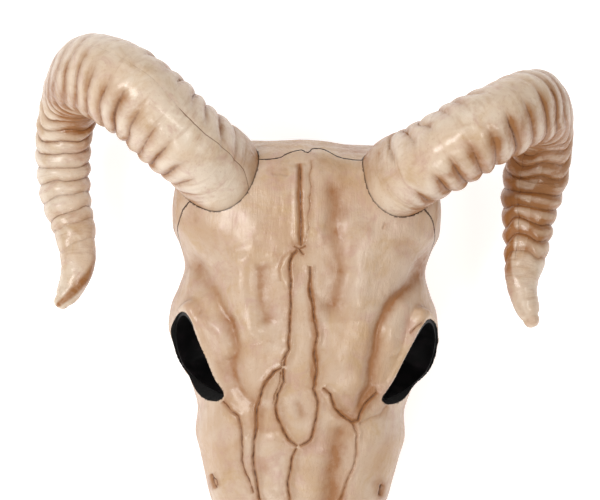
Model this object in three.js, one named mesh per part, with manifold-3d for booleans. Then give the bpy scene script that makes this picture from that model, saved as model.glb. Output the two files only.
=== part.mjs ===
// A moulded ram skull, life size: the hollow plastic copy of a skull that is sold as a wall or table ornament.
// A face shell and a back shell meet along a seam round the outline, two ridged horns are plugged into
// seats at the crown, and a dark cup lines each eye socket. The upper jaw carries its cheek teeth; there is
// no lower jaw, so the skull lies on its teeth and on the base of the braincase.
//
// Lengths are millimetres. The skull is shaped in its own face frame, written (side, along, up): side is 0 on
// the midline and positive to the animal's left, along runs down the face from the crown to the nose, and up
// stands out of the forehead. The last lines tip that frame nose down, until teeth and skull base stand on z = 0.
import * as THREE from "three";
import { LoftGeometry } from "three/addons/geometries/LoftGeometry.js";
import { mergeVertices } from "three/addons/utils/BufferGeometryUtils.js";
import Module from "manifold-3d";

const wasm = await Module();
wasm.setup();

// ---------------------------------------------------------------- driving dimensions
const GAP = 0.35; // joint between neighbouring mouldings
const NOSE_DOWN = THREE.MathUtils.degToRad(12.5); // slope of the face when the skull rests
const REST_HEIGHT = 117; // from the floor to the face frame's origin at the crown
const BOX_MIDDLE = { side: -3.2, along: 106.6 }; // where the model's own origin lies below the face frame

const SKULL = { back: -6, nose: 288, backRound: 30, noseRound: 15, sections: 28, corners: 22 };
// [along, value] pairs down the skull.
const HALF_WIDTH = through([-5, 66], [10, 73], [24, 75.6], [36, 77], [47, 76.6], [59, 71.8], [70, 69.2], [82, 72.5],
  [93, 76.8], [104, 78], [116, 74.5], [128, 67.8], [140, 62.4], [151, 59.3], [163, 60.2], [175, 57.2], [186, 54.4],
  [198, 51.4], [218, 44], [240, 35], [262, 28], [288, 23.5]);
const TOP = through([-5, -4], [8, 2], [30, 7], [60, 9], [110, 7], [160, 2], [205, -5], [240, -14], [265, -22], [288, -29]);
const WIDEST = through([-5, -40], [20, -36], [60, -44], [95, -51], [125, -52], [155, -42], [200, -36], [288, -36]);
const BOTTOM = through([-5, -72], [10, -88], [40, -94], [75, -86], [110, -76], [150, -68], [200, -60], [240, -51], [288, -42]);
const TOP_SQUARENESS = through([-5, 2.6], [40, 2.9], [75, 2.5], [115, 2.3], [160, 2.5], [288, 2.2]);
const BOTTOM_SQUARENESS = through([-5, 2.2], [60, 1.7], [120, 1.6], [200, 1.9], [288, 2.2]);

// Low lines of relief on the face, mirrored: a path of [side, along] points, a half breadth and a rise.
const FACE_RELIEF = {
  midRidge: { path: [[0, 50], [0, 160]], breadth: 6, rise: 1.6 },
  innerValley: { path: [[19, 15], [18, 120]], breadth: 8, rise: -2.4 },
  frontalRidge: { path: [[36, 38], [31, 80], [27, 122]], breadth: 8, rise: 2.2 },
  browGroove: { path: [[66, 64], [54, 86], [44, 106], [37, 130], [29, 152]], breadth: 6, rise: -3.2 },
  nasalGroove: { path: [[29, 156], [25, 180], [18, 225]], breadth: 6, rise: -2 },
};

const SOCKET = {
  centre: [61.8, 123.6, -30], turn: 27, lift: 25, // its mouth faces sideways, turned towards the nose and lifted, in degrees
  halfLength: 28, halfHeight: 21, depth: 36, lining: 1.6, liningInset: 0.6,
  rim: { thickness: 2.8, depth: 4.5, setBack: 3.4, riseUp: 1.4, shiftBack: 1.6 },
};

const NOSTRIL = { start: 234, end: 279, wall: 7, floor: -37, roofCavity: [17, 30, 11] };
const TEETH = { count: 6, first: [37.5, 132], last: [27, 201], gum: -58, crown: -100, longest: 7.2, shortest: 4.8, breadth: 0.82 };

// The middle lines of the two horns from root to tip, mirrored to one side, as [side, along, up, radius].
// The left horn is plugged in a little lower, so it spreads flatter than the right one.
const HORN_LINES = {
  horn_left: [[54, 15, -4, 23.4], [72, 4.5, 14, 23.6], [97.5, -12, 22, 22.6], [124, -24.6, -2, 21.5],
    [133, -12.5, -42, 19.7], [133, 9.5, -62, 19.8], [129.5, 33, -62, 17.3], [128, 55, -54, 13.7], [125.5, 75, -47, 9.5],
    [129.5, 90.7, -44, 6.4], [133.3, 99, -43, 1.8]],
  horn_right: [[52.5, 13.5, -4, 24.8], [70, -1, 14, 25.2], [95.8, -24, 22, 25.2], [121.8, -35.3, 0, 22.9],
    [138, -21, -44, 18.1], [143, 7.5, -63, 16.8], [140, 35, -62, 15.5], [133.3, 57, -54, 12], [131.6, 75.5, -47, 9.5],
    [137.8, 90, -44, 6], [142.5, 95.6, -44, 1.8]],
};
const HORN = {
  curlAxis: [0, -24], // [along, up] of the line across the head that the curl turns about
  ridges: 24, firstRidge: 0.1, lastRidge: 0.875, ridgeShrink: 0.66, ridgeDepth: 2.3, corners: 12,
  rootLength: 28, // of the blunt end that sits in the skull
};

const FINISH = {
  bone: { color: 0xd2b49a, roughness: 0.38, metalness: 0 },
  horn: { color: 0xdcc3a4, roughness: 0.34, metalness: 0 },
  lining: { color: 0x0c0908, roughness: 0.6, metalness: 0 },
};

// ---------------------------------------------------------------- helpers
// A smooth curve through [position, value] pairs that never overshoots them, flat beyond both ends.
function through(...pairs) {
  const slope = (i) => (pairs[i + 1][1] - pairs[i][1]) / (pairs[i + 1][0] - pairs[i][0]);
  const tangents = pairs.map((_, i) => {
    if (i === 0 || i === pairs.length - 1) return 0;
    const [before, after] = [slope(i - 1), slope(i)];
    return before * after > 0 ? (2 * before * after) / (before + after) : 0;
  });
  return (position) => {
    const last = pairs.length - 1;
    if (position <= pairs[0][0]) return pairs[0][1];
    if (position >= pairs[last][0]) return pairs[last][1];
    const i = pairs.findIndex(([end]) => end > position) - 1;
    const span = pairs[i + 1][0] - pairs[i][0];
    const t = (position - pairs[i][0]) / span;
    return pairs[i][1] * (1 + 2 * t) * (1 - t) ** 2 + pairs[i + 1][1] * t * t * (3 - 2 * t)
      + span * (tangents[i] * t * (1 - t) ** 2 - tangents[i + 1] * t * t * (1 - t));
  };
}

// A point of the face frame as a three.js vector: the nose points to -y.
const point = (side, along, up) => new THREE.Vector3(side, -along, up);

// A closed geometry as a solid.
function solid(geometry) {
  const bare = new THREE.BufferGeometry().setAttribute("position", geometry.getAttribute("position"));
  bare.setIndex(geometry.getIndex());
  const merged = mergeVertices(bare, 1e-4);
  const corners = Array.from(merged.getIndex().array);
  const kept = [];
  for (let i = 0; i < corners.length; i += 3) {
    const [p, q, r] = corners.slice(i, i + 3);
    if (p !== q && q !== r && r !== p) kept.push(p, q, r);
  }
  return new wasm.Manifold(new wasm.Mesh({
    numProp: 3,
    vertProperties: merged.getAttribute("position").array,
    triVerts: new Uint32Array(kept),
  }));
}

// An egg shape with its three radii along the face frame, turned about the side axis and the up axis.
function ellipsoid([side, along, up], [sideRadius, alongRadius, upRadius], { pitch = 0, yaw = 0, detail = 8 } = {}) {
  const geometry = new THREE.SphereGeometry(1, detail, Math.round(detail * 0.7));
  geometry.scale(sideRadius, alongRadius, upRadius);
  geometry.rotateX(THREE.MathUtils.degToRad(pitch)).rotateZ(THREE.MathUtils.degToRad(yaw));
  return solid(geometry.translate(side, -along, up));
}

// A bar with round ends through [side, along, up, radius] points.
function bar(points, corners = 6) {
  const centres = points.map(([side, along, up]) => point(side, along, up));
  const sections = centres.map((centre, i) => {
    const direction = centres[Math.min(i + 1, centres.length - 1)].clone().sub(centres[Math.max(i - 1, 0)]);
    const turn = new THREE.Quaternion().setFromUnitVectors(new THREE.Vector3(0, 0, 1), direction.normalize());
    return ring(corners, (angle) => new THREE.Vector3(Math.cos(angle), Math.sin(angle), 0)
      .multiplyScalar(points[i][3]).applyQuaternion(turn).add(centre));
  });
  return solid(new LoftGeometry(sections, { capStart: true, capEnd: true }));
}

const ring = (corners, at) => Array.from({ length: corners }, (_, i) => at((i / corners) * 2 * Math.PI));
const power = (value, exponent) => Math.sign(value) * Math.abs(value) ** exponent;
const mirrored = (make) => [make(1), make(-1)];
const join = (...solids) => solids.flat().reduce((whole, piece) => whole.add(piece));
const cut = (whole, ...solids) => solids.flat().reduce((rest, piece) => rest.subtract(piece), whole);

// ---------------------------------------------------------------- the skull's main form
// Distance from [side, along] to a path of such points.
function distanceToPath(side, along, path) {
  const here = new THREE.Vector3(side, along, 0);
  const nearest = new THREE.Vector3();
  const distances = path.slice(1).map((end, i) => {
    const line = new THREE.Line3(new THREE.Vector3(...path[i], 0), new THREE.Vector3(...end, 0));
    return line.closestPointToPoint(here, true, nearest).distanceTo(here);
  });
  return Math.min(...distances);
}

function faceRelief(side, along) {
  return Object.values(FACE_RELIEF).reduce((sum, { path, breadth, rise }) =>
    sum + rise * Math.exp(-((distanceToPath(Math.abs(side), along, path) / breadth) ** 2)), 0);
}

// How far the outline has opened at a place near a rounded end, from 0 at the end to 1.
const opened = (distance, round) => distance >= round ? 1 : (1 - (1 - distance / round) ** 2.5) ** 0.4;

function skullSection(along) {
  const { back, nose, backRound, noseRound, corners } = SKULL;
  const open = opened(along - back, backRound) * opened(nose - along, noseRound);
  const middle = WIDEST(along);
  return ring(corners, (angle) => {
    const [sine, cosine] = [-Math.sin(angle), Math.cos(angle)];
    const above = cosine >= 0;
    const exponent = 2 / (above ? TOP_SQUARENESS(along) : BOTTOM_SQUARENESS(along));
    const reach = above ? TOP(along) - middle : middle - BOTTOM(along);
    const side = HALF_WIDTH(along) * open * power(sine, exponent);
    const up = middle + reach * open * power(cosine, exponent);
    return point(side, along, up + (above ? faceRelief(side, along) * cosine : 0));
  });
}

function skullForm() {
  const { back, nose, sections } = SKULL;
  const stations = Array.from({ length: sections }, (_, i) => {
    const even = (i + 0.5) / sections;
    const crowded = (1 - Math.cos(even * Math.PI)) / 2; // closer together towards both ends
    return back + (nose - back) * (0.6 * even + 0.4 * crowded);
  });
  return solid(new LoftGeometry(stations.map(skullSection), { capStart: true, capEnd: true }));
}

// ---------------------------------------------------------------- eye sockets
// The frame of one socket: length along its rim, mouth outwards, height across the rim.
function socketPlace(hand) {
  const [side, along, up] = SOCKET.centre;
  const turn = THREE.MathUtils.degToRad(SOCKET.turn);
  const lift = THREE.MathUtils.degToRad(SOCKET.lift);
  const mouth = point(Math.cos(turn) * Math.cos(lift), Math.sin(turn) * Math.cos(lift), Math.sin(lift));
  const length = point(-Math.sin(turn), Math.cos(turn), 0);
  const height = new THREE.Vector3().crossVectors(length, mouth);
  const place = new THREE.Matrix4().makeBasis(length, mouth, height).setPosition(point(side, along, up));
  return hand > 0 ? place : new THREE.Matrix4().makeScale(-1, 1, 1).multiply(place);
}

// Mirrors turn a closed geometry inside out; this turns its faces back.
function placed(geometry, matrix) {
  geometry.applyMatrix4(matrix);
  if (matrix.determinant() < 0) geometry.setIndex(Array.from(geometry.getIndex().array).reverse());
  return geometry;
}

// A bowl round the mouth axis: radius and depth pairs, as shares of the socket's size.
function bowl(hand, inset, mouthHeight) {
  const { halfLength, halfHeight, depth } = SOCKET;
  const wall = [[0, -1], [0.55, -0.88], [0.88, -0.46], [1, -0.12]]
    .map(([radius, level]) => new THREE.Vector2(radius, level * (depth - inset)));
  const mouth = [new THREE.Vector2(1, mouthHeight), new THREE.Vector2(0, mouthHeight)];
  const lathe = new THREE.LatheGeometry([...wall, ...mouth], 16);
  lathe.scale(halfLength - inset, 1, halfHeight - inset);
  return solid(placed(lathe, socketPlace(hand)));
}

const socketCavity = (hand) => bowl(hand, 0, 26);
const socketLining = (hand) =>
  bowl(hand, GAP, -SOCKET.liningInset).subtract(bowl(hand, GAP + SOCKET.lining, 0));

function socketRim(hand) {
  const { halfLength, halfHeight, rim } = SOCKET;
  const tube = rim.thickness / halfLength;
  const torus = new THREE.TorusGeometry(1, tube, 5, 16).rotateX(Math.PI / 2);
  torus.scale(halfLength, rim.depth / tube, halfHeight + 0.5).translate(-rim.shiftBack, -rim.setBack, rim.riseUp);
  return solid(placed(torus, socketPlace(hand)));
}

// ---------------------------------------------------------------- cheek arches, skull base and muzzle
const cheekArch = (hand) => bar([[62, 128, -58, 7], [68, 108, -62, 6], [66, 86, -67, 5], [60, 66, -70, 5], [54, 46, -66, 6]]
  .map(([side, ...rest]) => [side * hand, ...rest]));

const templeHollow = (hand) => ellipsoid([74 * hand, 66, -62], [17, 27, 15], { yaw: -8 * hand });

const skullBase = () => join(
  mirrored((hand) => ellipsoid([12 * hand, 6, -98], [9, 12, 14], { pitch: 20 })), // occipital condyles
  mirrored((hand) => bar([[30 * hand, 8, -78, 10], [31 * hand, 16, -98, 7], [30 * hand, 22, -116, 4.5]])), // jugular processes
  mirrored((hand) => ellipsoid([23 * hand, 40, -92], [9, 14, 12])), // ear capsules
  mirrored((hand) => bar([[44 * hand, 34, -66, 8], [60 * hand, 30, -60, 6.5]])), // ear canals
  bar([[0, 10, -92, 10], [0, 50, -92, 9], [0, 86, -82, 8]]), // floor of the braincase
  mirrored((hand) => bar([[14 * hand, 82, -78, 5], [15 * hand, 98, -92, 3.5], [16 * hand, 112, -82, 5]])), // pterygoid wings
);

const spineHole = () => bar([[0, -30, -82, 10], [0, 12, -84, 9]], 14);

function tooth(index, hand) {
  const share = index / (TEETH.count - 1);
  const [side, along] = [0, 1].map((i) => THREE.MathUtils.lerp(TEETH.first[i], TEETH.last[i], share));
  const half = THREE.MathUtils.lerp(TEETH.longest, TEETH.shortest, share);
  const height = TEETH.gum - TEETH.crown;
  const crown = new THREE.CylinderGeometry(1.06, 0.98, height, 7).rotateX(Math.PI / 2);
  crown.scale(half * TEETH.breadth, half, 1).rotateZ(THREE.MathUtils.degToRad(8 * hand));
  return solid(crown.translate(side * hand, -along, TEETH.gum - height / 2));
}

const toothRows = () => mirrored((hand) => join(
  bar([[TEETH.first[0] * hand, 120, -66, 8.5], [34 * hand, 160, -62, 9.5], [27 * hand, 206, -56, 7]]), // gum ridge
  Array.from({ length: TEETH.count }, (_, index) => tooth(index, hand)),
));

const palateVault = () => ellipsoid([0, 168, -74], [19, 72, 13], { detail: 12 });
const throat = () => ellipsoid([0, 112, -80], [11, 20, 15], { pitch: -15 });

// The nose opening: a trough between the two prongs of the muzzle that runs in under the nasal bones.
function noseOpening() {
  const { start, end, wall, floor, roofCavity } = NOSTRIL;
  const steps = 6;
  const sections = Array.from({ length: steps + 1 }, (_, i) => {
    const along = THREE.MathUtils.lerp(start, end, i / steps);
    const narrowed = Math.sqrt(Math.sin(Math.PI * (0.12 + 0.76 * (i / steps))));
    const half = (HALF_WIDTH(along) - wall) * narrowed;
    return [[half, 40], [-half, 40], [-half * 0.9, floor + 5], [-half * 0.5, floor], [half * 0.5, floor], [half * 0.9, floor + 5]]
      .map(([side, up]) => point(side, along, up));
  });
  return join(
    solid(new LoftGeometry(sections, { capStart: true, capEnd: true })),
    ellipsoid([0, start, floor + roofCavity[2] + 1], roofCavity, { pitch: 6 }),
  );
}

const nasalTips = () => mirrored((hand) =>
  ellipsoid([6.4 * hand, 233, -14.5], [6.8, 19, 3.4], { pitch: 20, yaw: 4 * hand }));

// ---------------------------------------------------------------- seam between the two shells
// The region in front of the seam, as seen from the side: it starts behind the forehead, dives under the
// horn seats and runs along the widest part of the skull to the nose.
function frontOfSeam() {
  const seam = [[5, -4], [36, -20], [56, -31], [78, -45], [100, -57], [126, -60], [152, -51], [200, -42], [300, -36]];
  const outline = new THREE.Shape();
  outline.moveTo(5, 60);
  outline.lineTo(...seam[0]);
  outline.splineThru(seam.slice(1).map(([along, up]) => new THREE.Vector2(along, up)));
  outline.lineTo(300, 60);
  const width = 240;
  const slab = new THREE.ExtrudeGeometry(outline, { depth: width, bevelEnabled: false, curveSegments: 2 });
  slab.translate(0, 0, -width / 2);
  const [along, up, side] = [point(0, 1, 0), point(0, 0, 1), point(-1, 0, 0)];
  return solid(slab.applyMatrix4(new THREE.Matrix4().makeBasis(along, up, side)));
}

const floorBlock = () => {
  const block = new THREE.BoxGeometry(500, 700, 100).translate(0, 0, -50 - REST_HEIGHT);
  return solid(block.rotateX(-NOSE_DOWN));
};

// ---------------------------------------------------------------- horns
// The rings a horn is lofted through, as a share of its length and a depth of crease: smooth rings at both
// ends, and between them a crease and two shoulders for each ridge, the ridges growing shorter to the tip.
function hornRings() {
  const { ridges, firstRidge, lastRidge, ridgeShrink } = HORN;
  const place = (count) => {
    const run = count / ridges;
    return firstRidge + (lastRidge - firstRidge) * run * (1 + 0.5 * (1 - ridgeShrink) * (1 - run));
  };
  const root = [0, 0.035, 0.07].map((share) => ({ share, crease: 0 }));
  const ridged = Array.from({ length: ridges }, (_, i) => [
    { share: place(i), crease: Math.min(1, 0.4 + i * 0.2, 0.3 + (ridges - i) * 0.1) },
    { share: place(i + 0.28), crease: 0.12 },
    { share: place(i + 0.72), crease: 0.12 },
  ]).flat();
  const tip = [0, 0.3, 0.6, 0.82, 0.94, 1].map((run) => ({ share: lastRidge + (1 - lastRidge) * run, crease: 0 }));
  return [...root, ...ridged, ...tip];
}

// One horn, with its line mirrored by hand: 1 for the left horn and -1 for the right.
function horn(line, hand, grow = 0) {
  const places = line.map(([side, along, up]) => point(side * hand, along, up));
  const middle = new THREE.CatmullRomCurve3(places, false, "centripetal");
  const radii = through(...line.map(([, , , radius], i) => [i / (line.length - 1), radius]));
  const [axisAlong, axisUp] = HORN.curlAxis;
  const rootCap = [0.98, 0.86, 0.6, 0.3].map((back) => ({ share: 0, crease: 0, back }));
  const sections = [...rootCap, ...hornRings()].map(({ share, crease, back = 0 }) => {
    const tangent = middle.getTangentAt(share);
    const centre = middle.getPointAt(share).addScaledVector(tangent, -back * HORN.rootLength);
    const outer = new THREE.Vector3(0, centre.y + axisAlong, centre.z - axisUp).projectOnPlane(tangent).normalize();
    const across = new THREE.Vector3().crossVectors(tangent, outer);
    const radius = radii(middle.getUtoTmapping(share)) * Math.sqrt(1 - back * back);
    return ring(HORN.corners, (angle) => {
      const shape = 1 + 0.02 * (1 + Math.cos(2 * angle)) + 0.03 * Math.cos(3 * angle);
      const ridged = share < 0.45 ? 0.25 + 0.75 * Math.sin(angle / 2) ** 2 : 1; // the front of the horn stays smooth
      const cut = HORN.ridgeDepth * crease * ridged * Math.min(1, radius / 14);
      const reach = radius * shape - cut + grow;
      return centre.clone().addScaledVector(outer, reach * Math.cos(angle)).addScaledVector(across, reach * Math.sin(angle));
    });
  });
  return solid(new LoftGeometry(sections, { capStart: true, capEnd: true }));
}

// ---------------------------------------------------------------- the pieces
const hornLeft = horn(HORN_LINES.horn_left, 1);
const hornRight = horn(HORN_LINES.horn_right, -1);
const hornSeats = [horn(HORN_LINES.horn_left, 1, GAP), horn(HORN_LINES.horn_right, -1, GAP)];
const skull = cut(
  join(cut(skullForm(), mirrored(templeHollow)), mirrored(cheekArch), mirrored(socketRim), skullBase(), toothRows()),
  mirrored(socketCavity), palateVault(), throat(), spineHole(), noseOpening(),
);
const wholeSkull = cut(join(skull, nasalTips()), hornSeats);
const front = frontOfSeam();
const faceShell = wholeSkull.intersect(front);
const backShell = cut(wholeSkull, front.translate([0, GAP, -GAP]), floorBlock());

function mesh(name, piece, finish) {
  const { numProp, numVert, vertProperties, triVerts } = piece.getMesh();
  const positions = new Float32Array(numVert * 3);
  for (let i = 0; i < numVert; i += 1) positions.set(vertProperties.subarray(i * numProp, i * numProp + 3), i * 3);
  const geometry = new THREE.BufferGeometry().setAttribute("position", new THREE.BufferAttribute(positions, 3));
  geometry.setIndex(new THREE.BufferAttribute(triVerts, 1));
  geometry.computeVertexNormals();
  const made = new THREE.Mesh(geometry, new THREE.MeshStandardMaterial(finish));
  made.name = name;
  return made;
}

const faceFrame = new THREE.Group();
faceFrame.add(mesh("face_shell", faceShell, FINISH.bone));
faceFrame.add(mesh("back_shell", backShell, FINISH.bone));
faceFrame.add(mesh("horn_left", hornLeft, FINISH.horn));
faceFrame.add(mesh("horn_right", hornRight, FINISH.horn));
faceFrame.add(mesh("socket_lining_left", socketLining(1), FINISH.lining));
faceFrame.add(mesh("socket_lining_right", socketLining(-1), FINISH.lining));

faceFrame.rotation.x = NOSE_DOWN;
faceFrame.position.set(-BOX_MIDDLE.side, BOX_MIDDLE.along, REST_HEIGHT);

const model = new THREE.Group();
model.name = "ram_skull";
model.add(faceFrame);
export default model;
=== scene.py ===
# A ram skull ornament: two hollow shells of glossy bone-coloured plastic, two plugged-in ridged horns and
# black eye-socket cups, antiqued with a brown wash, with painted shade laid on in the same brown.
# Every piece is laid over the imported solids of the part.
import math
import bpy
import numpy as np
from mathutils import Matrix, Vector
from mathutils.bvhtree import BVHTree


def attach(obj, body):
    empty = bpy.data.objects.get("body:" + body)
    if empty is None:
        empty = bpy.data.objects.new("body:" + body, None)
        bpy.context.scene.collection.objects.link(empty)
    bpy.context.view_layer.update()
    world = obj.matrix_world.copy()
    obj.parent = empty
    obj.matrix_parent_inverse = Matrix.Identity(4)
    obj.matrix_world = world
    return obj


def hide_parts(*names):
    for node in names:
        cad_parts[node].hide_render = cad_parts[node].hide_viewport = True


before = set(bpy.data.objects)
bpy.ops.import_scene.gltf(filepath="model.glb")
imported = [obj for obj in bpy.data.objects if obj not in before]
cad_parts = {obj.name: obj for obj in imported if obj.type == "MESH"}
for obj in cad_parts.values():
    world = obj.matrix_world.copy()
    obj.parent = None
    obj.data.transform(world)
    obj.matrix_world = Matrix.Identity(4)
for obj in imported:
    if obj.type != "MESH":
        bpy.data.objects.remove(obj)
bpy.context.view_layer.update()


# ---------------------------------------------------------------- table, light and camera
# A plain white table top under soft studio panels: a broad one to the left of the camera, a weaker warm one
# on the right and an even white room. The camera looks down on the forehead from one and a half metres.
FACE_SLOPE = math.radians(12.5)  # the face slopes down to the nose by this much when the skull lies down
CAMERA_ROLL = math.radians(1.7)
CAMERA_PLACE = Vector((0, -0.2755, 1.5687))

for shown in bpy.context.selected_objects:
    shown.select_set(False)

bpy.ops.mesh.primitive_plane_add(size=6, location=(0, 0, 0))
table_top = bpy.context.object
table_top.name = "table_top"
table_paint = bpy.data.materials.new("matt white table paint")
table_paint.use_nodes = True
table_paint.node_tree.nodes["Principled BSDF"].inputs["Base Color"].default_value = (0.9, 0.9, 0.9, 1)
table_paint.node_tree.nodes["Principled BSDF"].inputs["Emission Color"].default_value = (1, 1, 1, 1)
table_paint.node_tree.nodes["Principled BSDF"].inputs["Roughness"].default_value = 0.9
table_paint.node_tree.nodes["Principled BSDF"].inputs["Specular IOR Level"].default_value = 0.1
table_paint.node_tree.nodes["Principled BSDF"].inputs["Emission Strength"].default_value = 0.62
table_top.data.materials.append(table_paint)

camera_right = Vector((math.cos(CAMERA_ROLL), math.sin(CAMERA_ROLL) * math.cos(FACE_SLOPE),
                       math.sin(CAMERA_ROLL) * math.sin(FACE_SLOPE)))
camera_up = Vector((-math.sin(CAMERA_ROLL), math.cos(CAMERA_ROLL) * math.cos(FACE_SLOPE),
                    math.cos(CAMERA_ROLL) * math.sin(FACE_SLOPE)))
camera_back = camera_right.cross(camera_up)
bpy.ops.object.camera_add(location=CAMERA_PLACE)
camera = bpy.context.object
camera_turn = Matrix((camera_right, camera_up, camera_back)).transposed().to_4x4()
camera.matrix_world = Matrix.Translation(CAMERA_PLACE) @ camera_turn
camera.data.lens = 160.7
camera.data.sensor_width = 36
camera.data.clip_start, camera.data.clip_end = 0.05, 20
bpy.context.scene.camera = camera


def soft_panel(name, toward, distance, width, height, power, color):
    bpy.ops.object.light_add(type="AREA")
    panel = bpy.context.object
    panel.name = name
    direction = (camera_right * toward[0] + camera_up * toward[1] + camera_back * toward[2]).normalized()
    panel.location = Vector((0, 0, 0.1)) + direction * distance
    panel.rotation_mode = "QUATERNION"
    panel.rotation_quaternion = direction.to_track_quat("Z", "Y")
    panel.data.shape = "RECTANGLE"
    panel.data.size, panel.data.size_y = width, height
    panel.data.energy = power
    panel.data.color = color


soft_panel("left_panel", (-0.52, 0.12, 0.85), 1.7, 0.4, 0.7, 12, (1, 0.985, 0.96))
soft_panel("right_panel", (0.42, -0.12, 0.9), 1.8, 0.3, 0.6, 5.6, (1, 0.95, 0.88))
soft_panel("top_panel", (-0.1, 0.85, 0.55), 1.8, 1.2, 0.5, 3, (1, 0.98, 0.95))
soft_panel("low_panel", (-0.25, -0.6, 0.78), 1.8, 0.5, 0.4, 4.5, (1, 0.98, 0.95))
room = bpy.data.worlds.new("white room")
room.use_nodes = True
room.node_tree.nodes["Background"].inputs["Color"].default_value = (1, 0.985, 0.965, 1)
room.node_tree.nodes["Background"].inputs["Strength"].default_value = 0.38
bpy.context.scene.world = room
bpy.context.scene.view_settings.view_transform = "Standard"
bpy.context.scene.view_settings.look = "None"


# ---------------------------------------------------------------- horns
# Two hollow horns of pale glossy plastic, moulded in two halves with a fine line where they meet, ringed
# with rounded ridges that are shallow on the front band and smooth at the tip. Each is plugged into its seat.
# The face frame is written (side, along, up) in millimetres: side grows to the animal's left, along runs
# down the face to the nose and up stands out of the forehead. Meshes are shaped at (side, -along, up).
GAP = 0.35
FACE_TO_ROW = (Matrix.Scale(0.001, 4) @ Matrix.Translation((3.2, 106.6, 117))
               @ Matrix.Rotation(FACE_SLOPE, 4, "X"))
# The points of HORN_LINES were read by eye, turned into millimetres by a separate script, and then
# rounded and shifted by hand.
HORN_LINES = {  # [side, along, up, radius] from root to tip, side without its sign
    "horn_left": [[54, 15, -4, 23.4], [72, 4.5, 14, 23.6], [97.5, -12, 22, 22.6], [124, -24.6, -2, 21.5],
                  [133, -12.5, -42, 19.7], [133, 9.5, -62, 19.8], [129.5, 33, -62, 17.3],
                  [128, 55, -54, 13.7],
                  [125.5, 75, -47, 9.5], [129.5, 90.7, -44, 6.4], [133.3, 99, -43, 1.8]],
    "horn_right": [[52.5, 13.5, -4, 24.8], [70, -1, 14, 25.2], [95.8, -24, 22, 25.2], [121.8, -35.3, 0, 22.9],
                   [138, -21, -44, 18.1], [143, 7.5, -63, 16.8], [140, 35, -62, 15.5], [133.3, 57, -54, 12],
                   [131.6, 75.5, -47, 9.5], [137.8, 90, -44, 6], [142.5, 95.6, -44, 1.8]],
}
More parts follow.
